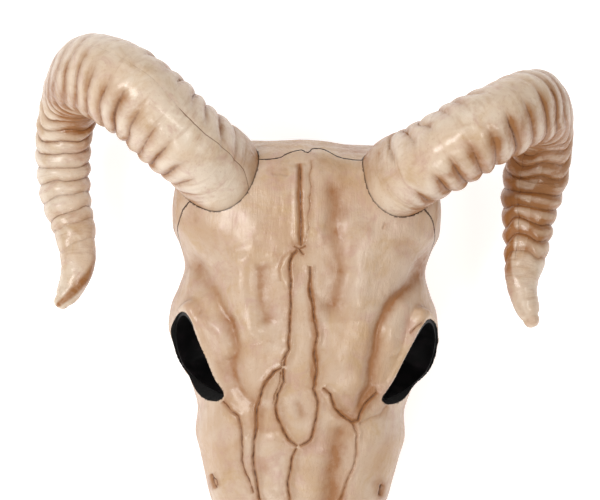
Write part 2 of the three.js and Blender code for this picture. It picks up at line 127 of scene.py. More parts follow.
# The creases were read off the horns laid out flat, and listed.
HORN_CREASES = {  # one row for each crease, as [degrees round the horn, share of its length] points
    "horn_left": [
        [(-105, .010), (-60, .018), (0, .020), (60, .010), (180, .002)],
        [(-105, .026), (-75, .040), (-60, .050), (-35, .060), (-5, .070), (15, .069), (32, .0625),
         (47, .050), (90, .036), (180, .028)],
        [(-102, .0575), (-83, .0825), (-45, .1025), (7, .1125), (25, .109), (50, .101), (90, .088),
         (180, .06)],
        [(-77, .1075), (-60, .135), (-35, .1475), (0, .1525), (22, .1475), (45, .141), (65, .135),
         (110, .122), (180, .10)],
        [(-110, .148), (-77, .165), (-50, .1775), (0, .187), (22, .185), (47, .180), (67, .174), (110, .162),
         (180, .145)],
        [(-100, .180), (-62, .196), (-30, .206), (10, .214), (40, .2125), (68, .205), (110, .197),
         (180, .180)],
        [(-110, .206), (-57, .2225), (-35, .234), (0, .237), (25, .235), (60, .241), (80, .246), (120, .248),
         (180, .225)],
        [(-100, .245), (-35, .2625), (-20, .2675), (0, .271), (25, .272), (57, .2775), (85, .285),
         (120, .298), (150, .300), (180, .275)],
        [(-100, .285), (-50, .290), (-15, .299), (12, .306), (30, .310), (50, .3125), (80, .318),
         (110, .336), (140, .350), (180, .330)],
        [(-100, .322), (-50, .325), (-10, .332), (10, .337), (40, .345), (65, .344), (85, .350), (110, .374),
         (140, .396), (180, .380)],
        [(-100, .362), (-50, .354), (0, .360), (40, .366), (65, .370), (85, .3725), (110, .405), (135, .436),
         (150, .428), (180, .418)],
        [(-100, .405), (-50, .388), (0, .390), (60, .398), (85, .408), (110, .440), (128, .495), (138, .488),
         (148, .452), (165, .442), (180, .447)],
        [(-153, .533), (-130, .530), (-60, .450), (0, .430), (60, .446), (100, .505), (117, .532),
         (138, .535), (150, .510), (166, .490), (176, .490), (-176, .500), (-166, .517)],
        [(-149, .592), (-120, .585), (-60, .530), (0, .490), (60, .505), (100, .566), (118, .588),
         (136, .590), (150, .572), (170, .556), (-176, .555), (-166, .562), (-155, .582)],
        [(-150, .640), (-110, .645), (-60, .605), (0, .560), (60, .575), (100, .618), (127, .639),
         (150, .630), (170, .615), (179, .612), (-168, .620)],
        [(-155, .703), (-124, .699), (-90, .692), (0, .650), (60, .660), (100, .684), (120, .690),
         (140, .694), (158, .694), (179, .699)],
        [(-153, .7305), (-127, .738), (-110, .7375), (0, .700), (60, .705), (108, .724), (127, .732),
         (150, .735), (180, .733)],
        [(-148, .761), (-122, .783), (-110, .781), (0, .750), (60, .755), (119, .770), (132, .775),
         (145, .783), (171, .780)],
        [(-145, .801), (-124, .814), (-110, .820), (0, .795), (60, .797), (124, .8065), (132, .815),
         (158, .817), (-176, .8065)],
        [(-163, .840), (-135, .845), (-118, .8685), (0, .835), (60, .832), (119, .8425), (132, .853),
         (166, .840)],
    ],
    "horn_right": [
        [(-90, .018), (-50, .030), (0, .032), (70, .040), (180, .010)],
        [(-90, .052), (-62, .060), (-55, .0675), (-35, .0725), (-15, .074), (2, .070), (70, .085),
         (180, .055)],
        [(-120, .080), (-80, .0875), (-60, .095), (-45, .100), (-25, .1025), (-5, .101), (60, .127),
         (150, .095)],
        [(-120, .112), (-77, .120), (-60, .130), (-40, .136), (-20, .1425), (-8, .1475), (50, .160),
         (150, .130)],
        [(-120, .142), (-80, .150), (-65, .160), (-50, .166), (-35, .1725), (-20, .175), (42, .195),
         (150, .162)],
        [(-120, .180), (-80, .186), (-70, .1965), (-52, .2012), (-35, .204), (0, .207), (34, .216),
         (150, .198)],
        [(-120, .213), (-87, .221), (-75, .2275), (-50, .2295), (-30, .229), (34, .2425), (150, .230)],
        [(-120, .250), (-90, .2525), (-70, .255), (-45, .251), (-30, .250), (34, .270), (150, .260)],
        [(-65, .282), (-90, .284), (-120, .296), (-150, .305), (180, .300), (120, .295), (30, .297),
         (-30, .279)],
        [(-60, .3095), (-90, .312), (-115, .332), (-135, .352), (-160, .350), (150, .335), (30, .318),
         (-12, .3025), (-30, .3075)],
        [(-60, .3425), (-90, .347), (-115, .370), (-135, .396), (-160, .390), (150, .368), (30, .345),
         (-20, .331), (-35, .335)],
        [(-55, .365), (-80, .373), (-110, .400), (-130, .430), (-150, .432), (180, .418), (120, .396),
         (0, .360)],
        [(-60, .392), (-90, .406), (-115, .437), (-132, .466), (-150, .460), (180, .442), (120, .424),
         (0, .388)],
        [(-60, .425), (-90, .440), (-115, .475), (-132, .506), (-147, .494), (-165, .472), (150, .455),
         (90, .440), (0, .415)],
        [(150, .480), (170, .489), (-168, .499), (-160, .520), (-150, .543), (-134, .552), (-90, .515),
         (-30, .470), (60, .465)],
        [(142, .5665), (155, .556), (171, .5535), (-176, .561), (-158, .577), (-134, .5875), (-90, .565),
         (0, .520), (90, .545)],
        [(142, .602), (158, .598), (179, .6005), (-166, .608), (-132, .6215), (-90, .608), (0, .575),
         (90, .588)],
        [(140, .638), (171, .637), (-171, .645), (-140, .6485), (-129, .6525), (-90, .643), (0, .622),
         (90, .630)],
        [(142, .689), (166, .6875), (-163, .6865), (-134, .6865), (-60, .680), (60, .668), (100, .676)],
        [(145, .7225), (171, .7255), (-163, .7185), (-129, .7225), (-60, .720), (60, .706), (100, .711)],
        [(145, .7515), (166, .757), (-163, .754), (-124, .7605), (-60, .757), (60, .744), (105, .746)],
        [(145, .790), (166, .7985), (-163, .801), (-134, .7995), (-100, .801), (-30, .790), (60, .782)],
        [(120, .812), (166, .8245), (-163, .8245), (-124, .827), (-98, .8195), (0, .812)],
        [(132, .853), (153, .858), (176, .8635), (-163, .8635), (-124, .8765), (-60, .870), (60, .846)],
    ],
}
# middle of the smooth front band and its half breadth, in degrees from the outside of the curl
HORN_FRONT = {
    "horn_left": (-14, 30), "horn_right": (6, 34),
}
# The five points of horn_right from 0.078 to 0.274 are a separate script's output, from places read by eye.
MOULD_LINE = {  # [share, degrees] of the fine line where the two halves of a horn meet
    "horn_left": [[0.0, -150], [0.2, -150], [0.42, -142], [0.5, -144], [0.6, -146], [0.7, -155],
                  [0.86, -157]],
    "horn_right": [[0.0, 50], [0.04, 40], [0.078, 30], [0.112, 21], [0.155, 12], [0.206, 9], [0.274, -3],
                   [0.33, -18],
                   [0.42, -30], [1.0, -30]],
}
RIDGE_DEPTH = 3.3


def through(pairs):
    """A smooth curve through [position, value] pairs that never overshoots them, flat beyond both ends."""
    places, values = np.array(pairs, float).T
    slopes = np.diff(values) / np.diff(places)
    tangents = np.zeros(len(places))
    for i in range(1, len(places) - 1):
        if slopes[i - 1] * slopes[i] > 0:
            tangents[i] = 2 * slopes[i - 1] * slopes[i] / (slopes[i - 1] + slopes[i])

    def at(position):
        position = np.clip(np.asarray(position, float), places[0], places[-1])
        i = np.clip(np.searchsorted(places, position, side="right") - 1, 0, len(places) - 2)
        span = places[i + 1] - places[i]
        t = (position - places[i]) / span
        return (values[i] * (1 + 2 * t) * (1 - t) ** 2 + values[i + 1] * t * t * (3 - 2 * t)
                + span * (tangents[i] * t * (1 - t) ** 2 - tangents[i + 1] * t * t * (1 - t)))
    return at


def horn_middle(points):
    """The horn's middle line: a centripetal spline, and the place on it of a share of its length."""
    points = np.array(points, float)
    ends = np.vstack([2 * points[0] - points[1], points, 2 * points[-1] - points[-2]])

    def at(t):
        place = (len(points) - 1) * np.clip(t, 0, 1)
        i = np.minimum(place.astype(int), len(points) - 2)
        w = (place - i)[:, None]
        p0, p1, p2, p3 = ends[i], ends[i + 1], ends[i + 2], ends[i + 3]
        d0, d1, d2 = (np.sqrt(np.linalg.norm(b - a, axis=1))[:, None] for a,
                      b in ((p0, p1), (p1, p2), (p2, p3)))
        t1 = ((p1 - p0) / d0 - (p2 - p0) / (d0 + d1) + (p2 - p1) / d1) * d1
        t2 = ((p2 - p1) / d1 - (p3 - p1) / (d1 + d2) + (p3 - p2) / d2) * d1
        return p1 + t1 * w + (3 * (p2 - p1) - 2 * t1 - t2) * w ** 2 + (2 * (p1 - p2) + t1 + t2) * w ** 3

    steps = np.linspace(0, 1, 201)
    lengths = np.concatenate([[0], np.cumsum(np.linalg.norm(np.diff(at(steps), axis=0), axis=1))])
    return at, lambda share: np.interp(share * lengths[-1], lengths, steps), lengths[-1]


def closed_loft(name, rings):
    """A closed mesh through rings of points, with both ends drawn together to a point."""
    count, corners = rings.shape[:2]
    points = np.vstack([rings.reshape(-1, 3), rings[0].mean(0), rings[-1].mean(0)])
    faces = []
    for i in range(count - 1):
        for j in range(corners):
            k = (j + 1) % corners
            faces.append((i * corners + j, i * corners + k, (i + 1) * corners + k, (i + 1) * corners + j))
    for j in range(corners):
        k = (j + 1) % corners
        faces.append((count * corners, k, j))
        faces.append((count * corners + 1, (count - 1) * corners + j, (count - 1) * corners + k))
    mesh = bpy.data.meshes.new(name)
    mesh.from_pydata(points.tolist(), [], faces)
    piece = bpy.data.objects.new(name, mesh)
    bpy.context.collection.objects.link(piece)
    face_outwards(piece)
    return piece


def only_selected(piece):
    for other in bpy.context.selected_objects:
        other.select_set(False)
    piece.select_set(True)
    bpy.context.view_layer.objects.active = piece


def face_outwards(piece):
    only_selected(piece)
    bpy.ops.object.mode_set(mode="EDIT")
    bpy.ops.mesh.select_all(action="SELECT")
    bpy.ops.mesh.normals_make_consistent(inside=False)
    bpy.ops.object.mode_set(mode="OBJECT")


def write_attribute(piece, name, values, kind="FLOAT"):
    attribute = piece.data.attributes.new(name, kind, "POINT")
    attribute.data.foreach_set("vector" if kind == "FLOAT_VECTOR" else "value",
                               np.asarray(values, np.float32).ravel())


def smooth_step(low, high, value):
    t = np.clip((value - low) / (high - low), 0, 1)
    return t * t * (3 - 2 * t)


def rise_and_fall(value, start, full, fading, end):
    """Rises from 0 to 1 between start and full, and falls back to 0 between fading and end."""
    return smooth_step(start, full, value) - smooth_step(fading, end, value)


def horn_form(name, shares, corners, grow=0.0, plain=False):
    """Rings of the horn, with what its finish needs at each point: creases, brown of the antiquing and of
    painted shade, and a place on the horn.
    """
    line = HORN_LINES[name]
    hand = 1 if name == "horn_left" else -1
    at, place_of, length = horn_middle([[side * hand, -along, up] for side, along, up, _ in line])
    radii = through([[i / (len(line) - 1), point[3]] for i, point in enumerate(line)])
    root_steps = np.linspace(0.999, 0.06, 14)
    back = np.concatenate([root_steps * 28, np.zeros(len(shares))])
    rounding = np.concatenate([np.sqrt(1 - root_steps ** 2), np.ones(len(shares))])
    share = np.concatenate([np.zeros(14), shares])
    t = place_of(share)
    tangent = at(np.minimum(t + 1e-4, 1)) - at(np.maximum(t - 1e-4, 0))
    tangent /= np.linalg.norm(tangent, axis=1)[:, None]
    centre = at(t) - tangent * back[:, None]
    outer = np.stack([0 * t, centre[:, 1], centre[:, 2] + 24], 1)
    outer -= tangent * (outer * tangent).sum(1)[:, None]
    outer /= np.linalg.norm(outer, axis=1)[:, None]
    across = np.cross(tangent, outer)
    blunt = np.where(share > 0.9, 4.6, 0)  # the tip ends round, not sharp
    end = np.sqrt(np.clip(1 - (np.clip(share - 0.983, 0, 1) / 0.0172) ** 2, 0, 1))
    radius = (np.maximum(radii(t), blunt) * end * rounding)[:, None]
    angle = np.linspace(0, 2 * np.pi, corners, endpoint=False)[None, :]
    s = share[:, None] + 0 * angle
    degrees = (np.degrees(angle) + 180) % 360 - 180 + 0 * s

    # where each point lies between the creases before and after it
    random = np.random.default_rng(7 if name == "horn_left" else 11)
    count = len(HORN_CREASES[name])
    turned = np.linspace(0, 360, corners, endpoint=False)
    edges = np.zeros((count, corners))
    for row, crease_points in enumerate(HORN_CREASES[name]):
        turns, places = np.array(sorted((a % 360, b) for a, b in crease_points)).T
        turns, places = np.concatenate([turns - 360, turns, turns + 360]), np.tile(places, 3)
        edges[row] = np.mean([np.interp(turned + d, turns, places) for d in (-9, -5, -2, 0, 2, 5, 9)], axis=0)
    edges = np.maximum.accumulate(edges, axis=0)
    edges = np.vstack([edges[:1] - 0.04, edges, edges[-1:] + 0.035])
    between = np.zeros(s.shape, int)
    for column in range(corners):
        between[:, column] = np.clip(np.searchsorted(edges[:, column], share, side="right") - 1, 0, count)
    before, after = np.take_along_axis(edges, between, 0), np.take_along_axis(edges, between + 1, 0)
    gap = np.maximum(after - before, 1e-4)
    run = np.clip((s - before) / gap, 0, 1)
    from_crease = np.minimum(run, 1 - run) * gap * length
    crown = 0.8 * (4 * run * (1 - run)) ** 0.45 + 0.2 * np.sin(np.pi * run) ** 2
    middle, half = HORN_FRONT[name]
    off_front = np.abs((degrees - middle + 180) % 360 - 180)
    band = 0.06 + 0.94 * smooth_step(half * 0.45, half * 1.6, off_front)
    band = band + (0.8 - band) * smooth_step(0.27, 0.37, s) * (band < 0.8)
    each = np.concatenate([[0.3, 0.45], random.uniform(0.75, 1.15, count - 2), [0.7, 0]])
    each[-7:-1] *= np.array([0.9, 0.85, 0.8, 0.75, 0.7, 0.6])
    strength = each[between] * (1 - run) + each[np.minimum(between + 1, count + 1)] * run
    strength = strength * band * smooth_step(0, 0.04, s)
    soft = (0.82 if name == "horn_right" else 0.45) * rise_and_fall(s, 0.25, 0.32, 0.47, 0.56)
    soft = soft * smooth_step(150, 110, np.abs(degrees))
    lined = strength * (1 - 0.3 * soft)
    strength = strength * (1 - soft)
    upper = smooth_step(-35, -60, degrees) * (1 - smooth_step(0.36, 0.42, s)) if name == "horn_left" else 0
    strength, lined = strength * (1 - 0.3 * upper), lined * (1 - 0.5 * upper)
    if name == "horn_right":
        strength = strength * (1 - 0.22 * smooth_step(0.5, 0.6, s))
    strength = strength * (1 - smooth_step(0.02, 0.035,
                                           s - np.take_along_axis(edges, between * 0 + count, 0)))
    lined = lined * (strength > 0.001)
    depth = strength * np.minimum(RIDGE_DEPTH, 0.30 * gap * length) * np.minimum(1, radius / 11)
    bulge = random.normal(0, 0.25, count + 2)[between] * np.sin(np.pi * run) * np.minimum(1, strength)

    shape = 1 + 0.02 * (1 + np.cos(2 * angle)) + 0.03 * np.cos(3 * angle)
    relief = depth * (crown - 1) + bulge - 0.7 * np.minimum(1, radius / 14)
    # broad unevenness of the old horn that the mould was taken from, and fine rings across it
    for turns, lumps, size in ((2, 9, 0.22), (3, 17, 0.2), (4, 31, 0.14), (7, 43, 0.09), (5, 83, 0.06),
                               (3, 131, 0.05)):
        offsets = random.uniform(0, 2 * np.pi, 2)
        relief = relief + size * np.sin(turns * angle + offsets[0]) * np.sin(lumps * s * 3 + offsets[1])
    line_share, line_degrees = np.array(MOULD_LINE[name]).T
    line_off = np.radians((degrees - np.interp(s, line_share, line_degrees) + 180) % 360 - 180) * radius
    line_off = line_off + 0.25 * np.sin(s * 75) + 0.12 * np.sin(s * 190 + 1)
    mould = np.exp(-(line_off / 1.1) ** 2) * 0.8
    line_strength = 0.85 + 0.15 * np.sin(s * 60 + 1.3 * np.sin(s * 31))
    if name == "horn_right":
        line_strength = line_strength * (1 - 0.6 * smooth_step(0.155, 0.175,
                                                               s)) * (1 - smooth_step(0.3, 0.37, s))
        mould = mould * (1 - smooth_step(0.28, 0.36, s))
    else:
        line_strength = line_strength * 0.6 * rise_and_fall(s, 0.40, 0.46, 0.84, 0.9)
        mould = mould * rise_and_fall(s, 0.40, 0.46, 0.84, 0.9)
    if plain:
        relief = 0 * relief - 0.7
    reach = radius * shape + relief * rounding[:, None] - 0.3 * mould * rounding[:, None] + grow
    reach = np.maximum(reach, 0.02)
    rings = (centre[:, None] + outer[:, None] * (reach * np.cos(angle))[..., None]
             + across[:, None] * (reach * np.sin(angle))[..., None])
    shown = np.clip(lined, 0, 1.2) * np.minimum(1, gap * length / 7)
    crease = np.exp(-(from_crease / 0.6) ** 2) * shown
    pale_end = smooth_step(0.45, 0.6, s) if name == "horn_right" else 0
    halo = (0.8 - 0.5 * pale_end) * np.exp(-(from_crease / (2.4 - 0.8 * pale_end)) ** 2) * shown
    if name == "horn_left":
        # the lower side is browner, the inner face of the curl is brown, partly wash and partly painted
        # shade,
        # and a dark strip runs down to the tip: wash and the painted shade of the curl's shaded inner side
        lower_side = 0.42 * smooth_step(8, 45, degrees) * (1 - smooth_step(0.78, 0.9, s))
        lower_half = 0.25 * smooth_step(0.38, 0.46, s) * (1 - smooth_step(0.8, 0.86, s))
        wash = lower_side + lower_half
        inner_face = 0.55 * smooth_step(78, 112, np.abs(degrees - 12))
        wash = wash + inner_face * (smooth_step(0.2, 0.3, s) - 0.75 * smooth_step(0.64, 0.82, s))
        side_strip = smooth_step(100, 116, -degrees) * (1 - smooth_step(142, 152, -degrees))
        column = side_strip * rise_and_fall(s, 0.45, 0.7, 0.84, 0.92)
        wash = wash + 1.1 * column
        # darker lines in the strip: wash, and painted shade in its ridges
        crease = np.maximum(crease, 0.5 * column * (0.4 + 0.6 * np.exp(-(from_crease / 2.2) ** 2)))
    else:
        inner_side = 0.6 * smooth_step(70, 105, -degrees) * (1 - smooth_step(150, 178, -degrees))
        wash = inner_side * rise_and_fall(s, 0.22, 0.36, 0.38, 0.54)
        wash = wash + 0.8 * smooth_step(62, 20, np.abs((degrees - 150 + 180) % 360
                                                       - 180)) * rise_and_fall(s, 0.30, 0.42, 0.54, 0.63)
        wash = wash + 0.6 * smooth_step(140, 158, np.abs(degrees)) * rise_and_fall(s, 0.40, 0.46, 0.50, 0.58)
        outer_side = 0.6 * smooth_step(88, 104, degrees) * (1 - smooth_step(118, 132, degrees))
        wash = wash + outer_side * rise_and_fall(s, 0.52, 0.58, 0.72, 0.78)
        tip_side = 0.8 * smooth_step(62, 92, degrees) * (1 - smooth_step(112, 138, degrees))
        wash = wash + tip_side * smooth_step(0.85, 0.92, s)
    wash = wash * (0.55 + 0.45 * np.exp(-(from_crease / 3) ** 2))
    # brown wash beside the creases; the darker band at the root, by the seat, is partly painted shade between
    # horn and skull
    wash = wash + halo + 0.4 * smooth_step(0.05, 0.0, s) * smooth_step(20, 60, off_front)
    unrolled = np.stack([radius * np.cos(angle), radius * np.sin(angle), s * length + 0 * angle], -1) * 0.001
    return rings, {"crease": crease, "wash": np.clip(wash, 0, 1.3), "mould_line": line_strength + 0 * angle,
                   "from_mould_line": np.clip(line_off, -6, 6), "unrolled": unrolled}


def carry_to_row(piece):
    piece.data.transform(FACE_TO_ROW)
    piece.data.update()


horn_pieces = {}
def painted_shade_turned_down(piece):
    """1 where a surface in the face frame turns away from the forehead side: painted shade, browner there."""
    facing = np.empty(len(piece.data.vertices) * 3, np.float32)
    piece.data.vertex_normals.foreach_get("vector", facing)
    return smooth_step(0.6, 0.0, facing[2::3])


for horn_name in HORN_LINES:
    horn_shares = np.concatenate([np.linspace(0, 0.93, 540), np.linspace(0.932, 0.98, 24),
                                  0.983 + 0.017 * np.sin(np.linspace(0, 1.55, 16))])
    horn_rings, horn_marks = horn_form(horn_name, horn_shares, 150)
    horn_piece = closed_loft(horn_name + "_moulding", horn_rings)
    for mark, values in horn_marks.items():
        width = 3 if mark == "unrolled" else 1
        flat = values.reshape(-1, width)
        flat = np.vstack([flat, flat[:1], flat[-1:]])
        if mark == "wash":
            # painted shade: browner where the horn turns away from the forehead side
            flat = flat + 0.5 * painted_shade_turned_down(horn_piece)[:, None]
        write_attribute(horn_piece, mark, flat, "FLOAT_VECTOR" if width == 3 else "FLOAT")
    carry_to_row(horn_piece)
    only_selected(horn_piece)
    bpy.ops.object.shade_smooth()
    horn_pieces[horn_name] = horn_piece


def shader_tree(name):
    material = bpy.data.materials.new(name)
    material.use_nodes = True
    return material, material.node_tree, material.node_tree.nodes["Principled BSDF"]


def add_node(tree, kind, inputs=None, **settings):
    node = tree.nodes.new(kind)
    for key, value in settings.items():
        setattr(node, key, value)
    for key, value in (inputs or {}).items():
        if isinstance(value, bpy.types.NodeSocket):
            tree.links.new(value, node.inputs[key])
        else:
            node.inputs[key].default_value = value
    return node


def rgb(red, green, blue):
    """A colour as the eye reads it, 0 to 255, turned to light values."""
    return tuple((c / 12.92 if c <= 0.04045 else ((c + 0.055) / 1.055) ** 2.4)
                 for c in (red / 255, green / 255, blue / 255)) + (1,)


def mixed(tree, amount, low, high, blend="MIX"):
    node = add_node(tree, "ShaderNodeMix", data_type="RGBA", blend_type=blend, clamp_factor=True)
    for socket, value in ((node.inputs[0], amount), (node.inputs[6], low), (node.inputs[7], high)):
        if isinstance(value, bpy.types.NodeSocket):
            tree.links.new(value, socket)
        else:
            socket.default_value = value
    return node.outputs[2]


def maths(tree, operation, first, second=0.0, clamp=False):
    node = add_node(tree, "ShaderNodeMath", {0: first, 1: second}, operation=operation, use_clamp=clamp)
    return node.outputs[0]


def ranged(tree, value, low, high, to_low=0.0, to_high=1.0):
    return add_node(tree, "ShaderNodeMapRange", {0: value, 1: low, 2: high, 3: to_low, 4: to_high},
                    interpolation_type="SMOOTHSTEP").outputs[0]


def noise(tree, place, scale, detail=3.0, roughness=0.5, distortion=0.0):
    return add_node(tree, "ShaderNodeTexNoise", {"Vector": place, "Scale": scale, "Detail": detail,
                                                 "Roughness": roughness,
                                                 "Distortion": distortion}).outputs["Fac"]


def attribute_value(tree, name, output="Fac"):
    return add_node(tree, "ShaderNodeAttribute", attribute_name=name).outputs[output]


def antique_finish():
    """Antiquing shared by the mouldings: blotchy pale plastic, brown rubbed into cracks and hollows, with
    painted shade laid on in the same brown.
    """
    group = bpy.data.node_groups.new("antique wash", "ShaderNodeTree")
    for name, kind in (("Place", "NodeSocketVector"), ("Pale", "NodeSocketColor"),
                       ("Warm", "NodeSocketColor"),
                       ("Brown", "NodeSocketColor"), ("Dark", "NodeSocketColor"), ("Wash", "NodeSocketFloat"),
                       ("Line", "NodeSocketFloat"), ("Drawn", "NodeSocketVector")):
        group.interface.new_socket(name=name, in_out="INPUT", socket_type=kind)
    for name, kind in (("Color", "NodeSocketColor"), ("Roughness", "NodeSocketFloat"),
                       ("Height", "NodeSocketFloat")):
        group.interface.new_socket(name=name, in_out="OUTPUT", socket_type=kind)
    given = group.nodes.new("NodeGroupInput").outputs
    place = given["Place"]
    broad = noise(group, place, 26, 3, 0.55, 0.6)
    blotch = noise(group, place, 75, 4, 0.6, 0.5)
    speck = noise(group, place, 800, 2, 0.5)
    grain = noise(group, place, 320, 4, 0.6, 0.3)
    pale = mixed(group, ranged(group, broad, 0.35, 0.68), given["Pale"], given["Warm"])
    golden = noise(group, add_node(group, "ShaderNodeVectorMath", {0: place, 1: (0.31, 0.17, 0.23)},
                                   operation="ADD").outputs[0], 48, 5, 0.68, 0.8)
    pale = mixed(group, ranged(group, golden, 0.45, 0.72, 0, 0.6), pale, rgb(196, 160, 114))
    rosy = noise(group, add_node(group, "ShaderNodeVectorMath", {0: place, 1: (0.73, 0.11, 0.57)},
                                 operation="ADD").outputs[0], 62, 5, 0.68, 0.8)
    pale = mixed(group, ranged(group, rosy, 0.48, 0.72, 0, 0.6), pale, rgb(196, 154, 140))
    # the wash and the painted shade lie evenly in the hollows and break up a little over the grain
    uneven = maths(group, "ADD", maths(group, "MULTIPLY", blotch, 0.9), maths(group, "MULTIPLY", grain, 0.5))
    film = maths(group, "MULTIPLY", given["Wash"], maths(group, "ADD", maths(group, "MULTIPLY", uneven, 1.3),
                                                         0.18), clamp=True)
    film = maths(group, "ADD", film, ranged(group, blotch, 0.5, 0.8, 0, 0.3))
    color = mixed(group, film, pale, given["Brown"])
    color = mixed(group, maths(group, "MULTIPLY", ranged(group, speck, 0.6, 0.8), 0.25), color,
                  given["Brown"])
    drawn = ranged(group, maths(group, "ADD", given["Line"],
                                maths(group, "MULTIPLY", maths(group, "SUBTRACT", grain, 0.5), 0.5)), 0.15,
                   1.0, 0.0, 0.9)
    color = mixed(group, drawn, color, given["Dark"])
    rough = maths(group, "ADD", ranged(group, grain, 0.3, 0.7, 0.3, 0.46),
                  maths(group, "MULTIPLY", film, 0.14))
    height = maths(group, "ADD", maths(group, "MULTIPLY", noise(group, given["Drawn"], 170, 3, 0.55, 0.4),
                                       0.8), maths(group, "MULTIPLY", grain, 0.4))
    out = group.nodes.new("NodeGroupOutput")
    for socket, value in (("Color", color), ("Roughness", rough), ("Height", height)):
        group.links.new(value, out.inputs[socket])
    return group


antique_wash = antique_finish()
horn_plastic, tree, shader = shader_tree("glossy pale horn plastic")
unrolled_place = attribute_value(tree, "unrolled", "Vector")
object_place = add_node(tree, "ShaderNodeTexCoord").outputs["Object"]
streak_place = add_node(tree, "ShaderNodeMapping", {"Vector": unrolled_place, "Scale": (1, 1, 7)}).outputs[0]
streaks = noise(tree, streak_place, 45, 4, 0.6, 0.4)
horn_wash_and_shade = maths(tree, "ADD", attribute_value(tree, "wash"), ranged(tree, streaks, 0.5, 0.8, 0, 0.3))
horn_line = maths(tree, "ADD", maths(tree, "MULTIPLY", attribute_value(tree, "crease"), 0.75),
                  maths(tree, "MULTIPLY", attribute_value(tree, "mould_line"),
                        ranged(tree, maths(tree, "ABSOLUTE", attribute_value(tree, "from_mould_line")), 0.12,
                               0.5, 1.0, 0.0)))
finish = add_node(tree, "ShaderNodeGroup", node_tree=antique_wash)
ring_place = add_node(tree, "ShaderNodeMapping", {"Vector": unrolled_place, "Scale": (1, 1, 2)}).outputs[0]
for socket, value in (("Place", object_place), ("Wash", horn_wash_and_shade), ("Line", horn_line),
                      ("Drawn", ring_place)):
    tree.links.new(value, finish.inputs[socket])
finish.inputs["Pale"].default_value = rgb(231, 214, 194)
finish.inputs["Warm"].default_value = rgb(221, 196, 170)
# this brown serves the wash and the painted shade alike
finish.inputs["Brown"].default_value = rgb(158, 104, 52)
finish.inputs["Dark"].default_value = rgb(108, 64, 32)
fine_rings = noise(tree, add_node(tree, "ShaderNodeMapping",
                                  {"Vector": unrolled_place, "Scale": (1, 1, 10)}).outputs[0], 120, 3, 0.6,
                   0.3)
bump = add_node(tree, "ShaderNodeBump", {"Height": maths(tree, "ADD", finish.outputs["Height"],
                                                         maths(tree, "MULTIPLY", fine_rings, 0.45)),
                                         "Strength": 0.5, "Distance": 0.0008})
tree.links.new(finish.outputs["Color"], shader.inputs["Base Color"])
tree.links.new(finish.outputs["Roughness"], shader.inputs["Roughness"])
tree.links.new(bump.outputs["Normal"], shader.inputs["Normal"])
shader.inputs["Coat Weight"].default_value = 0.5
shader.inputs["Coat Roughness"].default_value = 0.19

for horn_name, horn_piece in horn_pieces.items():
    horn_piece.data.materials.append(horn_plastic)
    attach(horn_piece, "root")
    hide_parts(horn_name)


# ---------------------------------------------------------------- skull shells
# The skull is blow-moulded as a face shell and a back shell of bone-coloured plastic that meet along a seam
# round the outline. Teeth, cheek arches and the base of the braincase are moulded with the back shell.
SKULL_BACK, SKULL_NOSE, SKULL_STATIONS = -6, 288, 28
BACK_ROUND, NOSE_ROUND = 30, 15
# From 24 to 198 the half widths follow an outline that a separate script measured at even steps.
HALF_WIDTH = through([[-5, 66], [10, 73], [24, 75.6], [36, 77], [47, 76.6], [59, 71.8], [70, 69.2],
                      [82, 72.5],
                      [93, 76.8], [104, 78], [116, 74.5], [128, 67.8], [140, 62.4], [151, 59.3], [163, 60.2],
                      [175, 57.2], [186, 54.4], [198, 51.4], [218, 44], [240, 35], [262, 28], [288, 23.5]])
TOP = through([[-5, -4], [8, 2], [30, 7], [60, 9], [110, 7], [160, 2], [205, -5], [240, -14], [265, -22],
               [288, -29]])
WIDEST = through([[-5, -40], [20, -36], [60, -44], [95, -51], [125, -52], [155, -42], [200, -36], [288, -36]])
BOTTOM = through([[-5, -72], [10, -88], [40, -94], [75, -86], [110, -76], [150, -68], [200, -60], [240, -51],
                  [288, -42]])
TOP_SQUARENESS = through([[-5, 2.6], [40, 2.9], [75, 2.5], [115, 2.3], [160, 2.5], [288, 2.2]])
BOTTOM_SQUARENESS = through([[-5, 2.2], [60, 1.7], [120, 1.6], [200, 1.9], [288, 2.2]])
SOCKET_CENTRE, SOCKET_TURN, SOCKET_LIFT = (61.8, 123.6, -30), math.radians(27), math.radians(25)
SOCKET_LENGTH, SOCKET_HEIGHT, SOCKET_DEPTH = 28, 21, 36
SOCKET_WALL = [(0, -1), (0.3, -0.97), (0.55, -0.88), (0.74, -0.7), (0.88, -0.46), (0.96, -0.28), (1, -0.12)]
TOOTH_COUNT, FIRST_TOOTH, LAST_TOOTH, GUM, CROWN = 6, (37.5, 132), (27, 201), -58, -100


def placed_at(piece, matrix):
    piece.data.transform(matrix)
    if matrix.determinant() < 0:
        piece.data.flip_normals()
    piece.data.update()
    piece.matrix_world = Matrix.Identity(4)
    return piece


def egg(side, along, up, radii, pitch=0, yaw=0):
    bpy.ops.mesh.primitive_uv_sphere_add(segments=40, ring_count=28, radius=1)
    turn = Matrix.Rotation(math.radians(yaw), 4, "Z") @ Matrix.Rotation(math.radians(pitch), 4, "X")
    return placed_at(bpy.context.object, Matrix.Translation((side, -along, up)) @ turn
                     @ Matrix.Diagonal((*radii, 1)))


